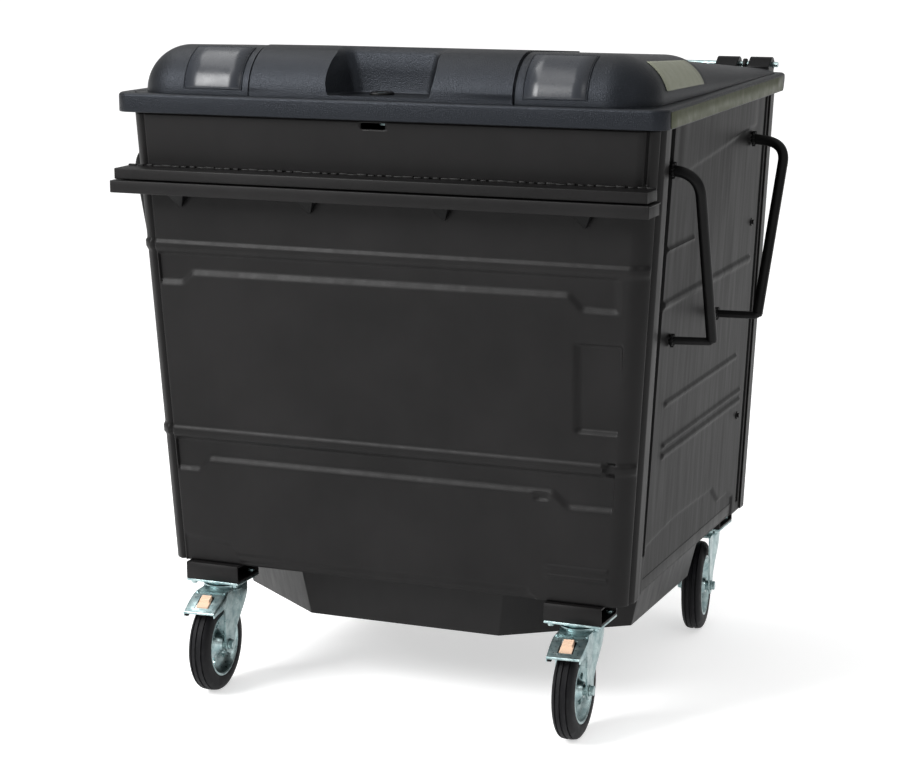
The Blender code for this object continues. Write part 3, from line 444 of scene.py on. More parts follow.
TUB_TOP, TUB_BOTTOM = 1213.0 * MM, 272.0 * MM
HALF_FRONT = (571.0 * MM, 509.0 * MM)         # half widths at the top and the bottom of the wall
HALF_REAR = (543.0 * MM, 490.0 * MM)
FRONT_Y = (-444.0 * MM, -430.0 * MM)
REAR_Y = 475.0 * MM
CORNER = 40.0 * MM
QUARTER = CORNER * math.pi / 2                # length of the sheet round a corner
SEAM_FRONT_Y, SEAM_REAR_Y = -346.0 * MM, 412.0 * MM
LAP = 14.0 * MM
WALL = 2.5 * MM
LOCK_SLOT = (-44.0 * MM, 8.0 * MM, 1196.5 * MM, 1209.5 * MM)     # left, right, low and high
ROW_STEP = 4.0 * MM
COLUMN_STEP = 6.0 * MM
# Pressed step lines on the front: (x, z) in mm. The sheet above each line stands back up to a bead.
FRONT_STEPS = ((((-560, 858), (-457, 860), (-433, 882), (391, 885), (418, 858), (500, 856)), 930.0),
               (((-560, 464), (-432, 465), (-408, 490), (356, 489), (389, 462), (500, 463)), 539.0))
FRONT_BEADS = ((930.0, 954.0), (539.0, 563.0))
SIDE_BEADS = ((850.0, 868.0, -316.0, 343.0), (642.0, 656.0, -256.0, 290.0), (533.0, 549.0, -252.0, 346.0),
              (556.0, 570.0, -252.0, 346.0), (963.0, 975.0, -317.0, -119.0))


def blend(low, high, fraction):
    """A value between two others."""
    return low + (high - low) * fraction


def spread(low, high, count):
    """Evenly spaced values, from low to high in a number of steps."""
    return [blend(low, high, i / count) for i in range(count + 1)]


def ease(t):
    """A smooth step from 0 to 1."""
    t = min(1.0, max(0.0, t))
    return t * t * (3.0 - 2.0 * t)


def fall(z):
    """How far down the wall a height is, 0 at the top and 1 at the bottom."""
    return (TUB_TOP - z) / (TUB_TOP - TUB_BOTTOM)


def side_x(y, z):
    """Half the width of the tub at a place on its side."""
    along = (y - FRONT_Y[0]) / (REAR_Y - FRONT_Y[0])
    return blend(blend(*HALF_FRONT, fall(z)), blend(*HALF_REAR, fall(z)), along)


def line_at(x, points):
    """The height of a line of (x, z) points at x."""
    for (x0, z0), (x1, z1) in zip(points, points[1:]):
        if x <= x1:
            return blend(z0, z1, min(1.0, max(0.0, (x - x0) / (x1 - x0))))
    return points[-1][1]


def window(value, low, high, lip):
    """1 inside a range, easing to 0 over a lip at both ends."""
    return min(ease((value - low) / lip), ease((high - value) / lip))


def front_relief(x, z):
    """How far the front sheet stands out of its flat, in mm, at a place given in mm."""
    rise = 0.0
    for low, high in FRONT_BEADS:
        rise += 4.0 * window(z, low, high, 6.0)
    for line, top in FRONT_STEPS:
        foot = line_at(x, line)
        if foot - 1.0 < z < top + 1.0:
            share = min(1.0, max(0.0, (z - foot) / 13.0))
            rise -= 6.0 * share * ease((top - z) / 6.0) * ease((500.0 - x) / 16.0)
    rise -= 8.0 * window(x, 402.0, 505.0, 9.0) * window(z, 618.0, 802.0, 10.0)
    rise -= 12.0 * window(x, 462.0, 500.0, 7.0) * window(z, 536.0, 566.0, 6.0)
    rise -= 5.0 * window(x, 314.0, 354.0, 12.0) * window(z, 476.0, 492.0, 5.0)
    lower = line_at(x, ((-480, 332), (-363, 318), (-348, 298), (300, 298), (322, 276), (330, 200)))
    rise -= 3.0 * ease((lower - z) / 8.0) * ease((x + 480.0) / 12.0)
    rise += 2.5 * window(x, -346.0, 318.0, 6.0) * window(z, 280.0, 290.0, 4.0)
    for centre in (343.0, 324.0):
        rise += 3.0 * window(x, 338.0, 486.0, 8.0) * window(z, centre - 6.0, centre + 6.0, 5.0)
    return rise


def corner_relief(side, along, z):
    """The same round a corner, where along is the distance past the start of the corner, in mm."""
    end = QUARTER / MM
    if side < 0:
        return -6.0 * math.exp(-((along - 9.0) / 3.6) ** 2)
    rise = -10.0 * math.exp(-((along - end + 5.0) / 4.4) ** 2)
    if z > 1108.0:
        rise -= 6.0 * math.exp(-((along - 22.0) / 3.4) ** 2)
    return rise + 3.0 * window(along, end + 2.0, end + 42.0, 7.0)


def wall_y(end, z):
    """Where the front (end -1) or rear (end 1) wall is at a height."""
    return blend(*FRONT_Y, fall(z)) if end < 0 else REAR_Y


def wrapped_columns(seam_length):
    """Distances past the start of a corner where the sheet has columns, in metres."""
    count = round((QUARTER + seam_length + 8.0 * MM) / (2.4 * MM))
    return spread(-8.0 * MM, QUARTER + seam_length, count)


def wrap_point(side, end, along, z, rise):
    """A point on the front (end -1) or rear (end 1) sheet, at a distance past the start of a corner."""
    centre_y = wall_y(end, z) - end * CORNER
    half = side_x(centre_y, z)
    if along <= 0.0:
        return (side * (half - CORNER + along), wall_y(end, z) + end * rise, z)
    if along <= QUARTER:
        a = along / CORNER
        reach = CORNER + rise
        return (side * (half - CORNER + reach * math.sin(a)), centre_y + end * reach * math.cos(a), z)
    y = centre_y - end * (along - QUARTER)
    return (side * (side_x(y, z) + rise), y, z)


def heights():
    """The heights of the rows of every wall sheet, from the top down."""
    return spread(TUB_TOP, TUB_BOTTOM, round((TUB_TOP - TUB_BOTTOM) / ROW_STEP))


def make_wrapped_sheet(name, end, node):
    """The front or rear sheet with its beads and pressed steps, wrapped round both corners."""
    seam_y = SEAM_FRONT_Y if end < 0 else SEAM_REAR_Y
    middle_y = (sum(FRONT_Y) / 2) if end < 0 else REAR_Y
    seam_length = abs(middle_y - end * CORNER - seam_y)
    turns = wrapped_columns(seam_length)
    flat = round(2 * (HALF_FRONT[0] - CORNER) / COLUMN_STEP)
    rows = []
    for z in heights():
        tall = z / MM
        bead = sum(4.0 * window(tall, low, high, 5.0) for low, high in FRONT_BEADS)
        centre_y = wall_y(end, z) - end * CORNER
        inner = side_x(centre_y, z) - CORNER + turns[0]
        row = []
        for side, distances in ((-1, list(reversed(turns))), (1, turns)):
            points = []
            for along in distances:
                past = along / MM
                rise = corner_relief(side, past, tall) if end < 0 else 0.0
                if past <= 0.0:
                    x = side * (side_x(centre_y, z) - CORNER + along) / MM
                    rise += front_relief(x, tall) if end < 0 else bead
                elif end > 0:
                    rise += bead * ease((10.0 - past) / 10.0)
                else:
                    rise += bead * ease((QUARTER / MM - 12.0 - past) / 10.0)
                points.append(wrap_point(side, end, along, z, rise * MM))
            if side > 0:
                for i in range(1, flat):
                    x = blend(-inner, inner, i / flat)
                    rise = front_relief(x / MM, tall) if end < 0 else bead
                    row.append((x, wall_y(end, z) + end * rise * MM, z))
            row += points
        rows.append(row)
    mesh = rows_mesh(rows)
    if end < 0:
        open_lock_slot(mesh)
    sheet = piece(name, mesh, "black_paint", "tub", (node,), sharp=60.0)
    thicken(sheet, WALL)
    outward(mesh)


def open_lock_slot(mesh):
    """Open the slot in the front sheet that the cam of the lid lock turns into."""
    left, right, low, high = LOCK_SLOT
    bm = bmesh.new()
    bm.from_mesh(mesh)
    middles = {face: face.calc_center_median() for face in bm.faces}
    inside = [face for face, middle in middles.items() if left < middle.x < right and low < middle.z < high]
    bmesh.ops.delete(bm, geom=inside, context="FACES")
    bm.to_mesh(mesh)
    bm.free()


def thicken(sheet, thickness):
    """Give a sheet its thickness, towards the inside of the object."""
    shell = sheet.modifiers.new("sheet", "SOLIDIFY")
    shell.thickness = thickness
    shell.offset = -1.0
    shell.use_even_offset = False


def outward(mesh, centre=(0.0, 0.0, 0.75)):
    """Turn an open sheet's faces away from a centre."""
    mesh.update()
    middle = Vector(centre)
    score = sum((face.center - middle).dot(face.normal) * face.area for face in mesh.polygons)
    if score < 0:
        mesh.flip_normals()


def side_relief(y, z):
    """How far a side sheet stands out of its flat, in mm, at a place given in mm."""
    rise = sum(4.0 * window(z, low, high, 5.0) * window(y, start, end, 8.0)
               for low, high, start, end in SIDE_BEADS)
    line = line_at(y, ((-330, 300), (-300, 372), (-113, 386), (165, 380), (224, 339), (297, 338), (400, 300)))
    rise -= 4.0 * ease((line - z) / 8.0) * ease((y + 318.0) / 10.0) * ease((350.0 - y) / 10.0)
    brow = line_at(y, ((-300, 1095), (-180, 1112), (60, 1130), (250, 1150)))
    rise += 3.0 * ease((z - brow) / 9.0) * window(y, -290.0, 330.0, 40.0)
    rise -= 18.0 * window(y, -346.0, -316.0, 4.0) * ease((z - 352.0) / 10.0)
    rise -= 10.0 * window(y, 376.0, 396.0, 3.0) * ease((z - 292.0) / 10.0)
    return rise


def make_side_sheets():
    """The side sheets with their pressed beads, their brow, the lower step and the seam grooves."""
    inset = WALL + 0.6 * MM
    low, high = SEAM_FRONT_Y - LAP, SEAM_REAR_Y + LAP
    places = spread(low, -310.0 * MM, 20)[:-1] + spread(-310.0 * MM, 366.0 * MM, 112)[:-1]
    places += spread(366.0 * MM, high, 24)
    for side, label in ((-1, "left"), (1, "right")):
        rows = [[(side * (side_x(y, z) - inset + side_relief(y / MM, z / MM) * MM), y, z) for y in places]
                for z in heights()]
        mesh = rows_mesh(rows)
        outward(mesh)
        # The side sheets take the duller copy of the black paint: painted shade.
        thicken(piece(f"side_sheet_{label}", mesh, "black_paint", "tub", (f"{label}_side_panel",), sharp=60.0,
                      look=SHADED_SIDE_PAINT), WALL)


def make_hardware():
    """Bolts, weld seams, the slotted upper rail and small fittings on the tub."""
    bolts = []
    for side in (-1, 1):
        for y, z in ((334.0 * MM, 940.0 * MM), (333.0 * MM, 506.0 * MM)):
            x = side_x(y, z) - 3.2 * MM
            bolts.append(rod((side * x, y, z), (side * (x + 6.0 * MM), y, z), 5.5 * MM, 6))
            bolts.append(rod((side * x, y, z), (side * (x + 2.0 * MM), y, z), 9.0 * MM, 24))
    soften(piece("wall_bolts", joined(*bolts), "black_paint", "tub"), 0.5 * MM)
    half, front, back = 571 * MM, -505 * MM, -446 * MM
    bar = block((0.0, (front + back) / 2, 1094.4 * MM), (2 * half, back - front, 22.2 * MM), 1.8 * MM)
    slots = [(CUT, block((x * MM, -468 * MM, 1106 * MM), (165 * MM, 3.4 * MM, 12 * MM)))
             for x in (-460, -230, 0, 230, 460)]
    piece("slotted_rail", carved(bar, slots), "black_paint", "tub", ("rail_upper",))
    beads = []
    for i in range(57):
        x = (-560 + 20 * i) * MM
        size = (9 + 3 * math.sin(5.1 * i), 3.2 + math.sin(2.3 * i), 2.6 + 0.7 * math.sin(3.7 * i))
        beads.append(block((x, -448.5 * MM, 1106.2 * MM), tuple(2 * v * MM for v in size), 1.6 * MM, 2))
    piece("rail_weld_bead", joined(*beads), "black_paint", "tub")
    for i in range(1, 5):
        low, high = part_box(f"rail_gusset_{i}")
        x = (low.x + high.x) / 2
        top, tip = [[(x + u * wide * MM, v * MM, z * MM)
                     for u, v in ((-1, -446), (-1, nose), (1, nose), (1, -446))]
                    for wide, nose, z in ((21, -474, 1056), (3, -448, 1024))]
        mesh = rows_mesh([top, tip], solid=True)
        # The gusset brackets take the darker paint copy as painted shadow under the rail.
        soften(piece(f"gusset_bracket_{i}", mesh, "black_paint", "tub", (f"rail_gusset_{i}",), look=SHADED_PAINT),
               1.5 * MM)
    ends = []
    for side in (-1, 1):
        for half, top, bottom, front in ((577, 1080.6, 1057, -512), (571, 1105.0, 1083.5, -504.6)):
            ends.append(block((side * (half - 2) * MM, (front - 450) / 2 * MM, (top + bottom) / 2 * MM),
                              (3.4 * MM, (-450 - front) * MM, (top - bottom) * MM), 0.8 * MM, 2))
    piece("rail_end_caps", joined(*ends), "black_paint", "tub")


# ---------------------------------------------------------------- side handles

HANDLE_X = 617.0 * MM
HANDLE_RADIUS = 11.0 * MM
HANDLE_TOP, HANDLE_BOTTOM = 1128.0 * MM, 780.0 * MM
HANDLE_RUNS = {"front": (-330.0 * MM, -234.0 * MM, -250.0 * MM), "rear": (280.0 * MM, 84.0 * MM, 76.0 * MM)}


def make_handles():
    """Bent tube handles, thinner at their lower return, with lumpy welds at the wall."""
    for end, (top_y, bottom_y, wall_y) in HANDLE_RUNS.items():
        for side, label in ((-1, "left"), (1, "right")):
            start = (side * side_x(top_y, HANDLE_TOP), top_y, HANDLE_TOP)
            bend = (side * HANDLE_X, top_y, HANDLE_TOP - 8 * MM)
            elbow = (side * HANDLE_X, bottom_y, HANDLE_BOTTOM)
            foot = (side * side_x(wall_y, HANDLE_BOTTOM), wall_y, HANDLE_BOTTOM)
            upper = rounded_route([start, bend, elbow], 45 * MM, 14)[:-1]
            lower = rounded_route([bend, elbow, foot], 7 * MM, 4)[1:]
            radii = [HANDLE_RADIUS] * (len(upper) + 2) + [HANDLE_RADIUS * 0.72] * (len(lower) - 2)
            # The tubes and their welds take the darker copy of the black paint: painted shade.
            tube(f"tube_handle_{end}_{label}", upper + lower, HANDLE_RADIUS, "black_paint", "tub",
                 (f"handle_{end}_{label}",), radii=radii, look=SHADED_PAINT)
            welds = []
            for centre, radius in ((start, HANDLE_RADIUS), (foot, HANDLE_RADIUS * 0.72)):
                for i in range(11):
                    a = 2 * math.pi * i / 11
                    reach = radius + 1.5 * MM
                    spot = Vector(centre) + Vector(
                        (side * 2.5 * MM, reach * math.cos(a), reach * math.sin(a)))
                    size = (5 + 1.5 * math.sin(4.3 * i), 4.5 + math.sin(2.9 * i), 4.5 + math.cos(3.1 * i))
                    welds.append(block(tuple(spot), tuple(1.6 * v * MM for v in size), 2.2 * MM, 2))
            piece(f"handle_welds_{end}_{label}", joined(*welds), "black_paint", "tub", look=SHADED_PAINT)


# ---------------------------------------------------------------- lid

LID_BOTTOM, LID_TOP = 1215.5 * MM, 1255.0 * MM
LID_HALF = (592.0 * MM, 556.0 * MM)
LID_Y = (-464.0 * MM, 490.0 * MM)
LID_CORNER = 32.0 * MM
LID_SKIN = 5.0 * MM
LID_EDGE = 7.0 * MM
DOME_RADIUS = 94.0 * MM
DOME_HALF = 556.0 * MM
DOME_Y = (-455.0 * MM, -85.0 * MM)
DOME_REAR_SHARE = 0.8
SADDLE_HALF, SADDLE_RISE = 283.0 * MM, 3.0 * MM
SLOPE_REAR_Y, SLOPE_REAR_SHARE, SLOPE_HALF_REAR, SLOPE_STEP = 446.0 * MM, 0.14, 540.0 * MM, 4.0 * MM
POCKET_HALF, POCKET_FLOOR, POCKET_BACK_Y = 111.0 * MM, 1262.0 * MM, -376.0 * MM
HINGE_Y, HINGE_Z = 500.0 * MM, 1270.0 * MM
KNUCKLE_HALF, KNUCKLE_RADIUS = 275.0 * MM, 15.0 * MM
BRACKET_X = 459.5 * MM
REAR_CUT_HALF = 0.7                           # past the lid's ends, to open its whole rear edge
LOCK_X, LOCK_Y = -18.0 * MM, -398.0 * MM


def lid_half(y):
    """Half the width of the lid at a place along its depth."""
    return blend(*LID_HALF, (y - LID_Y[0]) / (LID_Y[1] - LID_Y[0]))


def lid_ring(inset, z, rear_y=LID_Y[1]):
    """The lid's plan outline at a height, pulled in by an inset."""
    front, radius, rear_radius = LID_Y[0] + inset, LID_CORNER - inset / 2, 12 * MM
    right = [(lid_half(front) - inset - radius + u, front + radius - v)
             for u, v in arc(0.0, 0.0, radius, 90.0, 0.0, 12)]
    right += [(lid_half(rear_y) - inset - rear_radius + u, rear_y - inset - rear_radius + v)
              for u, v in arc(0.0, 0.0, rear_radius, 0.0, 90.0, 6)]
    return [(x, y, z) for x, y in right + [(-x, y) for x, y in reversed(right)]]


def rim_side(y):
    """Half the width over the lid's straight sides, between their rounded corners."""
    return blend(*LID_HALF, (y - LID_Y[0] - LID_CORNER) / (LID_Y[1] - 12 * MM - LID_Y[0] - LID_CORNER))


def dome_share(y):
    """Height of the dome behind its rounded front, as a share of its top."""
    front = DOME_Y[0] + DOME_RADIUS
    return blend(1.0, DOME_REAR_SHARE, max(0.0, (y - front) / (DOME_Y[1] - front)))


def section(y, flat, corner, height, base, steps=18):
    """One cross-section of the lid's top: a flat middle with quarter-round ends, down to a base."""
    right = [(flat + u * corner, LID_TOP + v * height) for u, v in arc(0.0, 0.0, 1.0, 90.0, 0.0, steps)]
    right.append((flat + corner, base))
    return [(x, y, z) for x, z in right] + [(-x, y, z) for x, z in reversed(right)]


def dome(inset, base, half=DOME_HALF, rise=0.0, square=False):
    """The raised front of the lid. Its top falls towards the rear."""
    radius = DOME_RADIUS - inset + rise
    front = DOME_Y[0] + DOME_RADIUS
    rows = [(front - u, v, v) for u, v in arc(0.0, 0.0, radius, 4.0, 90.0, 20)]
    rows += [(y, radius * dome_share(y), radius) for y in
             spread(front, DOME_Y[1] - inset, 8)[1:]]
    if square:
        return rows_mesh([section(y, half - 1.5 * MM, 1.5 * MM, height, base, 2) for y, height, _ in rows],
                         solid=True)
    return rows_mesh([section(y, half - DOME_RADIUS, corner, height, base) for y, height, corner in rows],
                     solid=True)


def slope(inset, base):
    """The rear of the lid, which falls from the dome to the hinge."""
    rows = []
    for i in range(13):
        along = i / 12
        y = blend(DOME_Y[1] - DOME_RADIUS / 2, SLOPE_REAR_Y - inset, along)
        half = blend(DOME_HALF, SLOPE_HALF_REAR, along) - inset
        high = DOME_REAR_SHARE * DOME_RADIUS - SLOPE_STEP
        height = blend(high, SLOPE_REAR_SHARE * DOME_RADIUS, along) - inset
        rows.append(section(y, half - DOME_RADIUS + inset, DOME_RADIUS - inset, height, base))
    return rows_mesh(rows, solid=True)


def lid_block():
    """The lid's rim: a band with rounded upper and lower edges."""
    edge = LID_EDGE
    levels = [(inset, LID_BOTTOM + 2 * MM - h) for inset, h in arc(2 * MM, 0.0, 2 * MM, 90.0, 180.0, 3)]
    upper = [(edge + u, LID_TOP - edge + v) for u, v in arc(0.0, 0.0, edge, 180.0, 90.0, 6)]
    return rows_mesh([lid_ring(inset, z) for inset, z in levels + upper], solid=True)


def crease(centre, width):
    """A cutter for a shallow groove over the dome, from its foot in front to its rear."""
    front, radius = DOME_Y[0] + DOME_RADIUS, DOME_RADIUS - 2.6 * MM
    inner = arc(front, LID_TOP, radius, 180.0, 90.0, 24)
    inner.append((DOME_Y[1] - 4 * MM, LID_TOP + radius * dome_share(DOME_Y[1])))
    outer = [(DOME_Y[1] - 4 * MM, LID_TOP + 150 * MM), (DOME_Y[0] - 8 * MM, LID_TOP + 150 * MM),
             (DOME_Y[0] - 8 * MM, LID_TOP + 1 * MM)]
    return prism(inner + outer, centre - width / 2, centre + width / 2)


def foot_crease():
    """A cutter for the fine crease where the dome and the slope meet the rim."""
    def foot(offset):
        right = [(DOME_HALF + offset, DOME_Y[1]), (SLOPE_HALF_REAR + offset, SLOPE_REAR_Y + offset)]
        corner = [(DOME_HALF - 30 * MM + u, DOME_Y[0] + 30 * MM - v)
                  for u, v in arc(0.0, 0.0, 30 * MM + offset, 90.0, 0.0, 8)]
        right = corner + right
        return right + [(-x, y) for x, y in reversed(right)]

    ring = prism(foot(2.4 * MM), LID_TOP - 2.4 * MM, LID_TOP + 0.2 * MM, "Z")
    return carved(ring, [(CUT, prism(foot(-0.5 * MM), LID_TOP - 5 * MM, LID_TOP + 5 * MM, "Z"))])


def grip_pocket(front):
    """A cutter for the grip pocket, wider at its mouth and its top than at its back, with soft corners."""
    levels = []
    for height, back_half, mouth_half, lean in ((1262.0, 80.0, 114.0, 0.0), (1300.0, 86.0, 126.0, 0.5),
                                                (1335.0, 96.0, 133.0, 1.5), (1341.0, 99.0, 136.0, 4.0),
                                                (1346.0, 103.0, 141.0, 9.0), (1350.0, 110.0, 150.0, 19.0),
                                                (1370.0, 140.0, 180.0, 60.0)):
        z, back_y = height * MM, POCKET_BACK_Y + lean * MM
        levels.append([((mouth_half + 6.0) * MM, front, z), (back_half * MM, back_y, z),
                       (-back_half * MM, back_y, z), ((-mouth_half - 6.0) * MM, front, z)])
    bm = bmesh.new()
    bm.from_mesh(rows_mesh(levels, solid=True))
    back = [edge for edge in bm.edges if all(v.co.y > POCKET_BACK_Y - 1 * MM for v in edge.verts)
            and abs(edge.verts[0].co.z - edge.verts[1].co.z) > 1 * MM]
    bevel(bm, back, 16 * MM, 6)
    floor = [edge for edge in bm.edges if all(v.co.z < POCKET_FLOOR + 0.1 * MM for v in edge.verts)
             and max(v.co.y for v in edge.verts) > front + 5 * MM]
    bevel(bm, floor, 4 * MM, 3)
    return mesh_of(bm)


def make_lid_moulding():
    """The whole moulding: rim, dome, saddle, rear slope, grip pocket and hinge knuckle."""
    base = LID_TOP - 3 * MM
    grip_front = DOME_Y[0] - 30 * MM
    hollow_base = LID_TOP - LID_SKIN - 4 * MM
    wide, deep = POCKET_HALF + 44 * MM, POCKET_BACK_Y + 32 * MM
    keep = block((0.0, (grip_front + deep) / 2, POCKET_FLOOR - LID_SKIN + 100 * MM),
                 (2 * wide, deep - grip_front, 200 * MM), 14 * MM)
    hollow = carved(dome(LID_SKIN, hollow_base), [(CUT, keep),
                                                  (ADD, slope(LID_SKIN, hollow_base))])
    under = [(x, y) for x, y, _ in lid_ring(LID_SKIN, 0.0, LID_Y[1] + 30 * MM)]
    pocket = grip_pocket(grip_front)
    rear = LID_Y[1]
    skirt = [(rear - 24 * MM, LID_BOTTOM - 5 * MM), (rear + 40 * MM, LID_BOTTOM - 5 * MM),
             (rear + 40 * MM, LID_TOP - LID_SKIN), (rear - 6 * MM, LID_TOP - LID_SKIN)]
    knuckle = arc(HINGE_Y, HINGE_Z, KNUCKLE_RADIUS, 180.0, -70.0, 20)
    knuckle += [(rear - 2 * MM, LID_TOP - 3 * MM), (rear - 20 * MM, LID_TOP - 3 * MM)]
    steps = [(ADD, dome(0.0, base)), (ADD, slope(0.0, base)),
             (ADD, dome(0.0, base, SADDLE_HALF, SADDLE_RISE, True)),
             (CUT, prism(under, LID_BOTTOM - 20 * MM, LID_TOP - LID_SKIN, "Z")),
             (CUT, foot_crease()), (CUT, hollow), (CUT, pocket),
             (CUT, prism([(rear - 30 * MM, LID_BOTTOM - 4 * MM), (rear + 8 * MM, LID_BOTTOM - 4 * MM),
                                   (rear + 8 * MM, LID_BOTTOM + 31 * MM)], -REAR_CUT_HALF, REAR_CUT_HALF)),
             (CUT, prism(skirt, -REAR_CUT_HALF, REAR_CUT_HALF)),
             (ADD, prism(knuckle, -KNUCKLE_HALF, KNUCKLE_HALF)),
             (CUT, rod((-0.3, HINGE_Y, HINGE_Z), (0.3, HINGE_Y, HINGE_Z), 6.5 * MM))]
    for side in (-1, 1):
        steps.append((CUT, block((side * BRACKET_X, rear, LID_TOP), (20 * MM, 30 * MM, 30 * MM))))
        steps.append((CUT, crease(side * (SADDLE_HALF + 2.2 * MM), 3.6 * MM)))
    steps.append((CUT, rod((LOCK_X, LOCK_Y, POCKET_FLOOR - 20 * MM),
                                    (LOCK_X, LOCK_Y, POCKET_FLOOR + 5 * MM), 9 * MM)))
    piece("lid_moulding", carved(lid_block(), steps), "lid_plastic", "lid", ("lid_shell",), sharp=32.0)


def lid_skin(name, rows, slot, thickness, centre, replaces=(), look=None):
    """A thin sheet on the outside of the lid, facing away from a centre."""
    mesh = rows_mesh(rows)
    outward(mesh, centre)
    shell = piece(name, mesh, slot, "lid", replaces, look=look).modifiers.new("sheet", "SOLIDIFY")
    shell.thickness = thickness
    shell.offset = 1.0


def make_lid_trim():
    """Reflective sheets with their moulded borders, the side bands and the lock's rosette."""
    gap = 0.4 * MM
    front, end = DOME_Y[0] + DOME_RADIUS, DOME_HALF - DOME_RADIUS
    radius = DOME_RADIUS + gap
    for side, label in ((-1, "left"), (1, "right")):
        turns = arc(0.0, 0.0, radius, 8.0, 74.0, 28)
        across = [side * x * MM for x in (304, 334, 367, 400, 430)]
        rows = [[(x, front - u, LID_TOP + v) for x in across] for u, v in turns]
        lid_skin(f"front_reflective_sheet_{label}", rows, "reflective_sheet", 1.2 * MM, (0.0, front, 1.0),
                 (f"front_panel_reflector_{label}",))
        edge, other = [[(side * x * MM, front - u, LID_TOP + v) for u, v in turns] for x in (302, 432)]
        border = edge + other[::-1] + edge[:1]
        tube(f"front_sheet_border_{label}", border, 1.6 * MM, "lid_plastic", "lid", resolution=3)
        turns = arc(0.0, 0.0, radius, 15.0, 58.0, 16)
        rows = [[(side * (end + u), y, LID_TOP + v * dome_share(y)) for y in spread(-342 * MM, -108 * MM, 8)]
                for u, v in turns]
        # The dome's side panels take the lighter copy of the side sheet's material: painted light.
        lid_skin(f"side_reflective_sheet_{label}", rows, "side_reflective_sheet", 1.2 * MM,
                 (0.0, -225 * MM, 1.0), (f"side_reflector_{label}",), PAINTED_LIGHT_PANEL)
        rows = [[(side * (rim_side(y) + 0.3 * MM), y, z) for y in spread(-433 * MM, 460 * MM, 20)]
                for z in (LID_BOTTOM + 2.2 * MM, LID_TOP - 6.6 * MM)]
        lid_skin(f"side_band_{label}", rows, "side_reflective_sheet", 0.8 * MM, (0.0, 0.0, 0.75))
    ring = lathe(mm((0, 14), (0, 25), (2, 25), (4.5, 22), (4.5, 16), (3, 14)), 48, "Z")
    ring.transform(Matrix.Translation((LOCK_X, LOCK_Y, POCKET_FLOOR + 0.2 * MM)))
    piece("lock_rosette", ring, "black_plastic", "lid")


def make_hinge_hoods():
    """Rounded hinge hoods on the lid's rear edge."""
    foot = LID_TOP + 0.4 * MM
    radius = 16.5 * MM
    rear = LID_Y[1]
    outline = [(468 * MM, foot), (468 * MM, foot + 12 * MM)] + arc(HINGE_Y, HINGE_Z, radius, 140.0, -50.0, 24)
    low, back = HINGE_Z - 21 * MM, rear + 0.4 * MM
    outline += [(HINGE_Y + 9 * MM, low), (back, low), (back, foot)]
    for side, label in ((-1, "left"), (1, "right")):
        steps = [(ADD, prism(outline, *sorted((side * 472 * MM, side * 522 * MM)))),
                 (ADD, block((side * BRACKET_X, 471 * MM, foot + 3 * MM), (125 * MM, 14 * MM, 6 * MM))),
                 (CUT, rod(*((side * x * MM, HINGE_Y, HINGE_Z) for x in (380, 540)), 6.4 * MM))]
        mesh = carved(prism(outline, *sorted((side * 397 * MM, side * 447 * MM))), steps)
        hood = piece(f"hinge_cover_{label}", mesh, "black_plastic", "lid", (f"hinge_hood_{label}",))
        soften(hood, 2.5 * MM, 3)


# ---------------------------------------------------------------- castors

WHEEL_R, TRAIL, CASTOR_HEIGHT = 100.0 * MM, 45.0 * MM, 235.0 * MM
LEG_FACE = 33.0 * MM                          # from the middle to a leg's flat face


def joint(name):
    """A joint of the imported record."""
    return next(j for j in frame["joints"] if j["name"] == name)


def make_tyre(label, matrix):
    """A solid tyre with rounded shoulders and three grooves round its tread."""
    half = mm((-20.5, 68.4), (-22.0, 72), (-22.5, 78), (-21.5, 87), (-19.5, 92), (-16.5, 96.5), (-13.0, 98.8),
              (-12.0, 96.4), (-10.6, 96.4), (-9.6, 99.4), (-3.0, 100), (-1.6, 97.0))
    profile = half + [(-along, radius) for along, radius in reversed(half)]
    piece(f"grooved_tyre_{label}", lathe(profile, 96), "tyre_rubber", f"wheel_{label}", (f"tyre_{label}",),
          matrix, sharp=28.0)


def make_rim(label, matrix):
    """A pressed steel rim: flanged edges, a dished web with round holes, and a hub."""
    half = mm((-21.5, 11.5), (-21.5, 16), (-15, 18), (-7, 26), (-4, 34), (-5, 48), (-10, 56), (-15, 61),
              (-20, 63), (-21.5, 65.5), (-21.0, 68))
    inner = [(-along, radius) for along, radius in reversed(half)]
    mesh = lathe(half + inner, 72)
    holes = []
    for i in range(5):
        a = math.radians(72.0 * i + 20.0)
        y, z = 41 * MM * math.cos(a), 41 * MM * math.sin(a)
        holes.append((CUT, rod((-30 * MM, y, z), (30 * MM, y, z), 8 * MM, 20)))
    piece(f"pressed_rim_{label}", carved(mesh, holes), "zinc", f"wheel_{label}", (f"wheel_rim_{label}",),
          matrix)


def solid_sheet(mesh, thickness):
    """A sheet mesh given its thickness behind its faces."""
    holder = bpy.data.objects.new("sheet", mesh)
    show(holder)
    thicken(holder, thickness)
    return baked(holder)


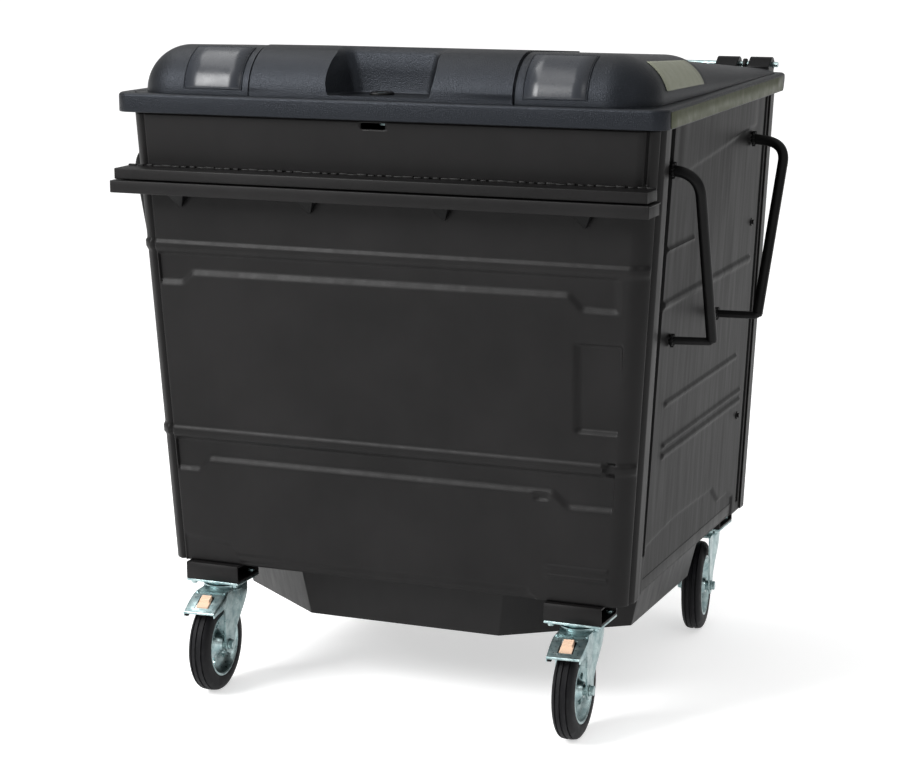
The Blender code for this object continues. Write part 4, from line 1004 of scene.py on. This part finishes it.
def fork_leg(side):
    """One pressed leg: a flat face beside the wheel that folds into a shell narrowing downwards."""
    rows = []
    bottom, end = -135 * MM - 20 * MM, 20 * MM
    for i in range(19):
        z = blend(-19 * MM, bottom, i / 18)
        near = max(0.0, bottom + end - z) / -end
        pinch = end * (1.0 - math.sqrt(max(0.0, 1.0 - near * near)))
        front, fold = -65 * MM + pinch, -22 * MM - pinch
        rear_share = 1.0 - ease((-z - 30 * MM) / (100 * MM))
        rear, swell = fold + 4 * MM + 52 * MM * rear_share, 8 * MM * rear_share
        row = [(LEG_FACE, blend(front, fold, k / 4), z) for k in range(5)]
        row += [(LEG_FACE + swell * math.sin(math.pi * 0.62 * k / 6), blend(fold, rear, k / 6), z)
                for k in range(1, 7)]
        rows.append([(side * x, y, z) for x, y, z in row])
    mesh = rows_mesh(rows)
    outward(mesh, (0.0, -20 * MM, -80 * MM))
    return solid_sheet(mesh, 3.6 * MM)


def make_fork(label, matrix):
    """The pressed fork: a ringed crown under the race, a deck and two legs."""
    crown = lathe(mm((-27, 30), (-27, 39), (-24, 42), (-21.5, 41.5), (-20, 38), (-16.5, 38), (-15, 41),
                     (-12.8, 41), (-12.6, 30)), 56, "Z")
    axle_z = WHEEL_R - CASTOR_HEIGHT
    deck = block((0.0, -10 * MM, -22 * MM), (64 * MM, 74 * MM, 5 * MM), 1 * MM, 1)
    steps = [(ADD, deck)] + [(ADD, fork_leg(side)) for side in (-1, 1)]
    steps.append((CUT, rod((-0.06, -TRAIL, axle_z), (0.06, -TRAIL, axle_z), 6.4 * MM)))
    piece(f"pressed_fork_{label}", carved(crown, steps), "zinc", f"swivel_{label}",
          (f"castor_fork_{label}",), matrix, sharp=40.0)
    hub = []
    for side in (-1, 1):
        hub.append(rod((side * 33.4 * MM, -TRAIL, axle_z), (side * 35 * MM, -TRAIL, axle_z), 12 * MM, 28))
        hub.append(rod((side * 35.2 * MM, -TRAIL, axle_z), (side * 42 * MM, -TRAIL, axle_z), 9.5 * MM, 6))
    soften(piece(f"axle_nuts_{label}", joined(*hub), "zinc", f"swivel_{label}", matrix=matrix), 0.6 * MM)


# Stations of the pedal: along, height, half width and cheek depth in mm
PEDAL_PATH = ((-48, -18.5, 33, 5), (-58, -19.5, 35, 9), (-70, -23, 37, 24), (-90, -31, 37, 20),
              (-108, -39, 36, 14), (-124, -47, 35, 10))


def make_pedal(label, matrix):
    """The brake pedal: a folded plate with deep cheeks, a rolled lip and a ribbed tab in its slot."""
    rows = []
    for y, z, half, drop in PEDAL_PATH:
        outline = [(-half, z - drop), (-half, z - 3), (-half + 0.9, z - 0.9), (-half + 3, z), (half - 3, z),
                   (half - 0.9, z - 0.9), (half, z - 3), (half, z - drop)]
        rows.append(mm(*((x, y, h) for x, h in outline)))
    mesh = rows_mesh(rows)
    outward(mesh, (0.0, -90 * MM, -80 * MM))
    slot = block((0.0, -94 * MM, -33 * MM), (32 * MM, 36 * MM, 24 * MM))
    lip = rod((-34 * MM, -124 * MM, -48.5 * MM), (34 * MM, -124 * MM, -48.5 * MM), 3.2 * MM, 16)
    plate = carved(solid_sheet(mesh, 2.2 * MM), [(CUT, slot), (ADD, lip)])
    piece(f"folded_pedal_{label}", plate, "zinc", f"brake_{label}", (f"brake_pedal_{label}",), matrix)
    lower = prism(mm((-92, -31), (-109, -38.5), (-109, -43), (-92, -36)), -12.5 * MM, 12.5 * MM)
    steps = [(ADD, prism(mm((-80, -22), (-97, -28.5), (-97, -38), (-80, -31)), -10.5 * MM, 10.5 * MM))]
    for i in range(3):
        y, z = -83 - 5 * i, -23.2 - 1.9 * i
        steps.append((ADD, rod(*mm((-10.5, y, z), (10.5, y, z)), 1.3 * MM, 10)))
    made = piece(f"brake_tab_cover_{label}", carved(lower, steps), "orange_plastic", f"brake_{label}",
                 (f"brake_tab_{label}",), matrix)
    soften(made, 0.5 * MM)
    foot = block((-29 * MM, -121 * MM, -54 * MM), (10 * MM, 7 * MM, 6 * MM), 2 * MM)
    piece(f"pedal_stop_{label}", foot, "black_plastic", f"brake_{label}", matrix=matrix)


def make_castor_bolts(label, place):
    """Hexagon bolts at the corners of the top plate."""
    bolts = []
    for sx in (-1, 1):
        for sy in (-1, 1):
            x, y = sx * 48 * MM, sy * 38 * MM
            bolts.append(rod((x, y, -5.2 * MM), (x, y, -11 * MM), 6.5 * MM, 6))
            bolts.append(rod((x, y, 2.4 * MM), (x, y, 9.5 * MM), 6.5 * MM, 6))
    made = piece(f"plate_bolts_{label}", joined(*bolts), "zinc", "tub", matrix=Matrix.Translation(place))
    soften(made, 0.6 * MM)


def make_castors():
    """Detailed wheels, forks and pedals in place of the plain packed ones."""
    for label in ("front_left", "front_right", "rear_left", "rear_right"):
        swivel = joint(f"swivel_{label}_turn")
        spin = joint(f"wheel_{label}_spin")
        turn = Matrix.Rotation(math.atan2(spin["axis"][1], spin["axis"][0]), 4, "Z")
        wheel = Matrix.Translation(spin["pos_m"]) @ turn
        seat = Matrix.Translation(swivel["pos_m"]) @ turn
        make_tyre(label, wheel)
        make_rim(label, wheel)
        make_fork(label, seat)
        make_castor_bolts(label, swivel["pos_m"])
        if label.startswith("front"):
            make_pedal(label, seat)


# ---------------------------------------------------------------- studio

def make_camera():
    """The camera at the photograph's viewing angle."""
    yaw, pitch, roll = (math.radians(a) for a in (CAMERA_YAW, CAMERA_PITCH, CAMERA_ROLL))
    data = bpy.data.cameras.new("camera")
    data.sensor_width = SENSOR
    data.lens = LENS
    data.clip_end = 60.0
    camera = bpy.data.objects.new("camera", data)
    turn = (Matrix.Rotation(yaw, 4, "Z") @ Matrix.Rotation(math.pi / 2 - pitch, 4, "X")
            @ Matrix.Rotation(-roll, 4, "Z").inverted())
    x, y, z = CAMERA_PLACE
    camera.matrix_world = Matrix.Translation((x, y + SHIFT, z)) @ turn
    show(camera)
    bpy.context.scene.camera = camera


def soft_light(name, place, target, size, power):
    """A rectangular soft box that faces a target."""
    data = bpy.data.lights.new(name, "AREA")
    data.shape = "RECTANGLE"
    data.size, data.size_y = size
    data.energy = power
    light = bpy.data.objects.new(name, data)
    aim = Vector(target) - Vector(place)
    light.matrix_world = Matrix.Translation(place) @ aim.to_track_quat("-Z", "Y").to_matrix().to_4x4()
    show(light)


def make_studio():
    """A pale floor that fades into a pale room, and soft boxes."""
    bm = bmesh.new()
    bmesh.ops.create_grid(bm, x_segments=1, y_segments=1, size=FLOOR_SIZE)
    mesh = bpy.data.meshes.new("floor")
    bm.to_mesh(mesh)
    bm.free()
    floor = bpy.data.objects.new("studio_floor", mesh)
    floor.location.z = -0.0005
    made = Nodes("studio_floor_look")
    made.shader.inputs["Base Color"].default_value = (FLOOR_TONE, FLOOR_TONE, FLOOR_TONE, 1.0)
    made.shader.inputs["Roughness"].default_value = 0.9
    made.shader.inputs["Emission Color"].default_value = (1.0, 1.0, 1.0, 1.0)
    made.shader.inputs["Emission Strength"].default_value = FLOOR_GLOW
    mesh.materials.append(made.material)
    show(floor)
    world = bpy.data.worlds.new("studio")
    bpy.context.scene.world = world
    world.use_nodes = True
    nodes, links = world.node_tree.nodes, world.node_tree.links
    direction = nodes.new("ShaderNodeTexCoord")
    height = nodes.new("ShaderNodeSeparateXYZ")
    fade = nodes.new("ShaderNodeValToRGB")
    for element, (place, tone) in zip((*fade.color_ramp.elements, fade.color_ramp.elements.new(0.1)),
                                      ((0.0, 1.0), (1.0, 0.42), (0.1, 0.3))):
        element.position = place
        element.color = (tone, tone, tone, 1.0)
    links.new(direction.outputs["Generated"], height.inputs["Vector"])
    links.new(height.outputs["Z"], fade.inputs["Fac"])
    links.new(fade.outputs["Color"], nodes["Background"].inputs["Color"])
    nodes["Background"].inputs["Strength"].default_value = 1.0
    for light in LIGHTS:
        soft_light(*light)
    bpy.context.scene.view_settings.view_transform = "Standard"


make_camera()
make_studio()
dress_nodes()
make_wrapped_sheet("front_sheet", -1, "front_panel")
make_wrapped_sheet("rear_sheet", 1, "rear_panel")
make_side_sheets()
make_hardware()
make_handles()
make_lid_moulding()
make_lid_trim()
make_hinge_hoods()
make_castors()
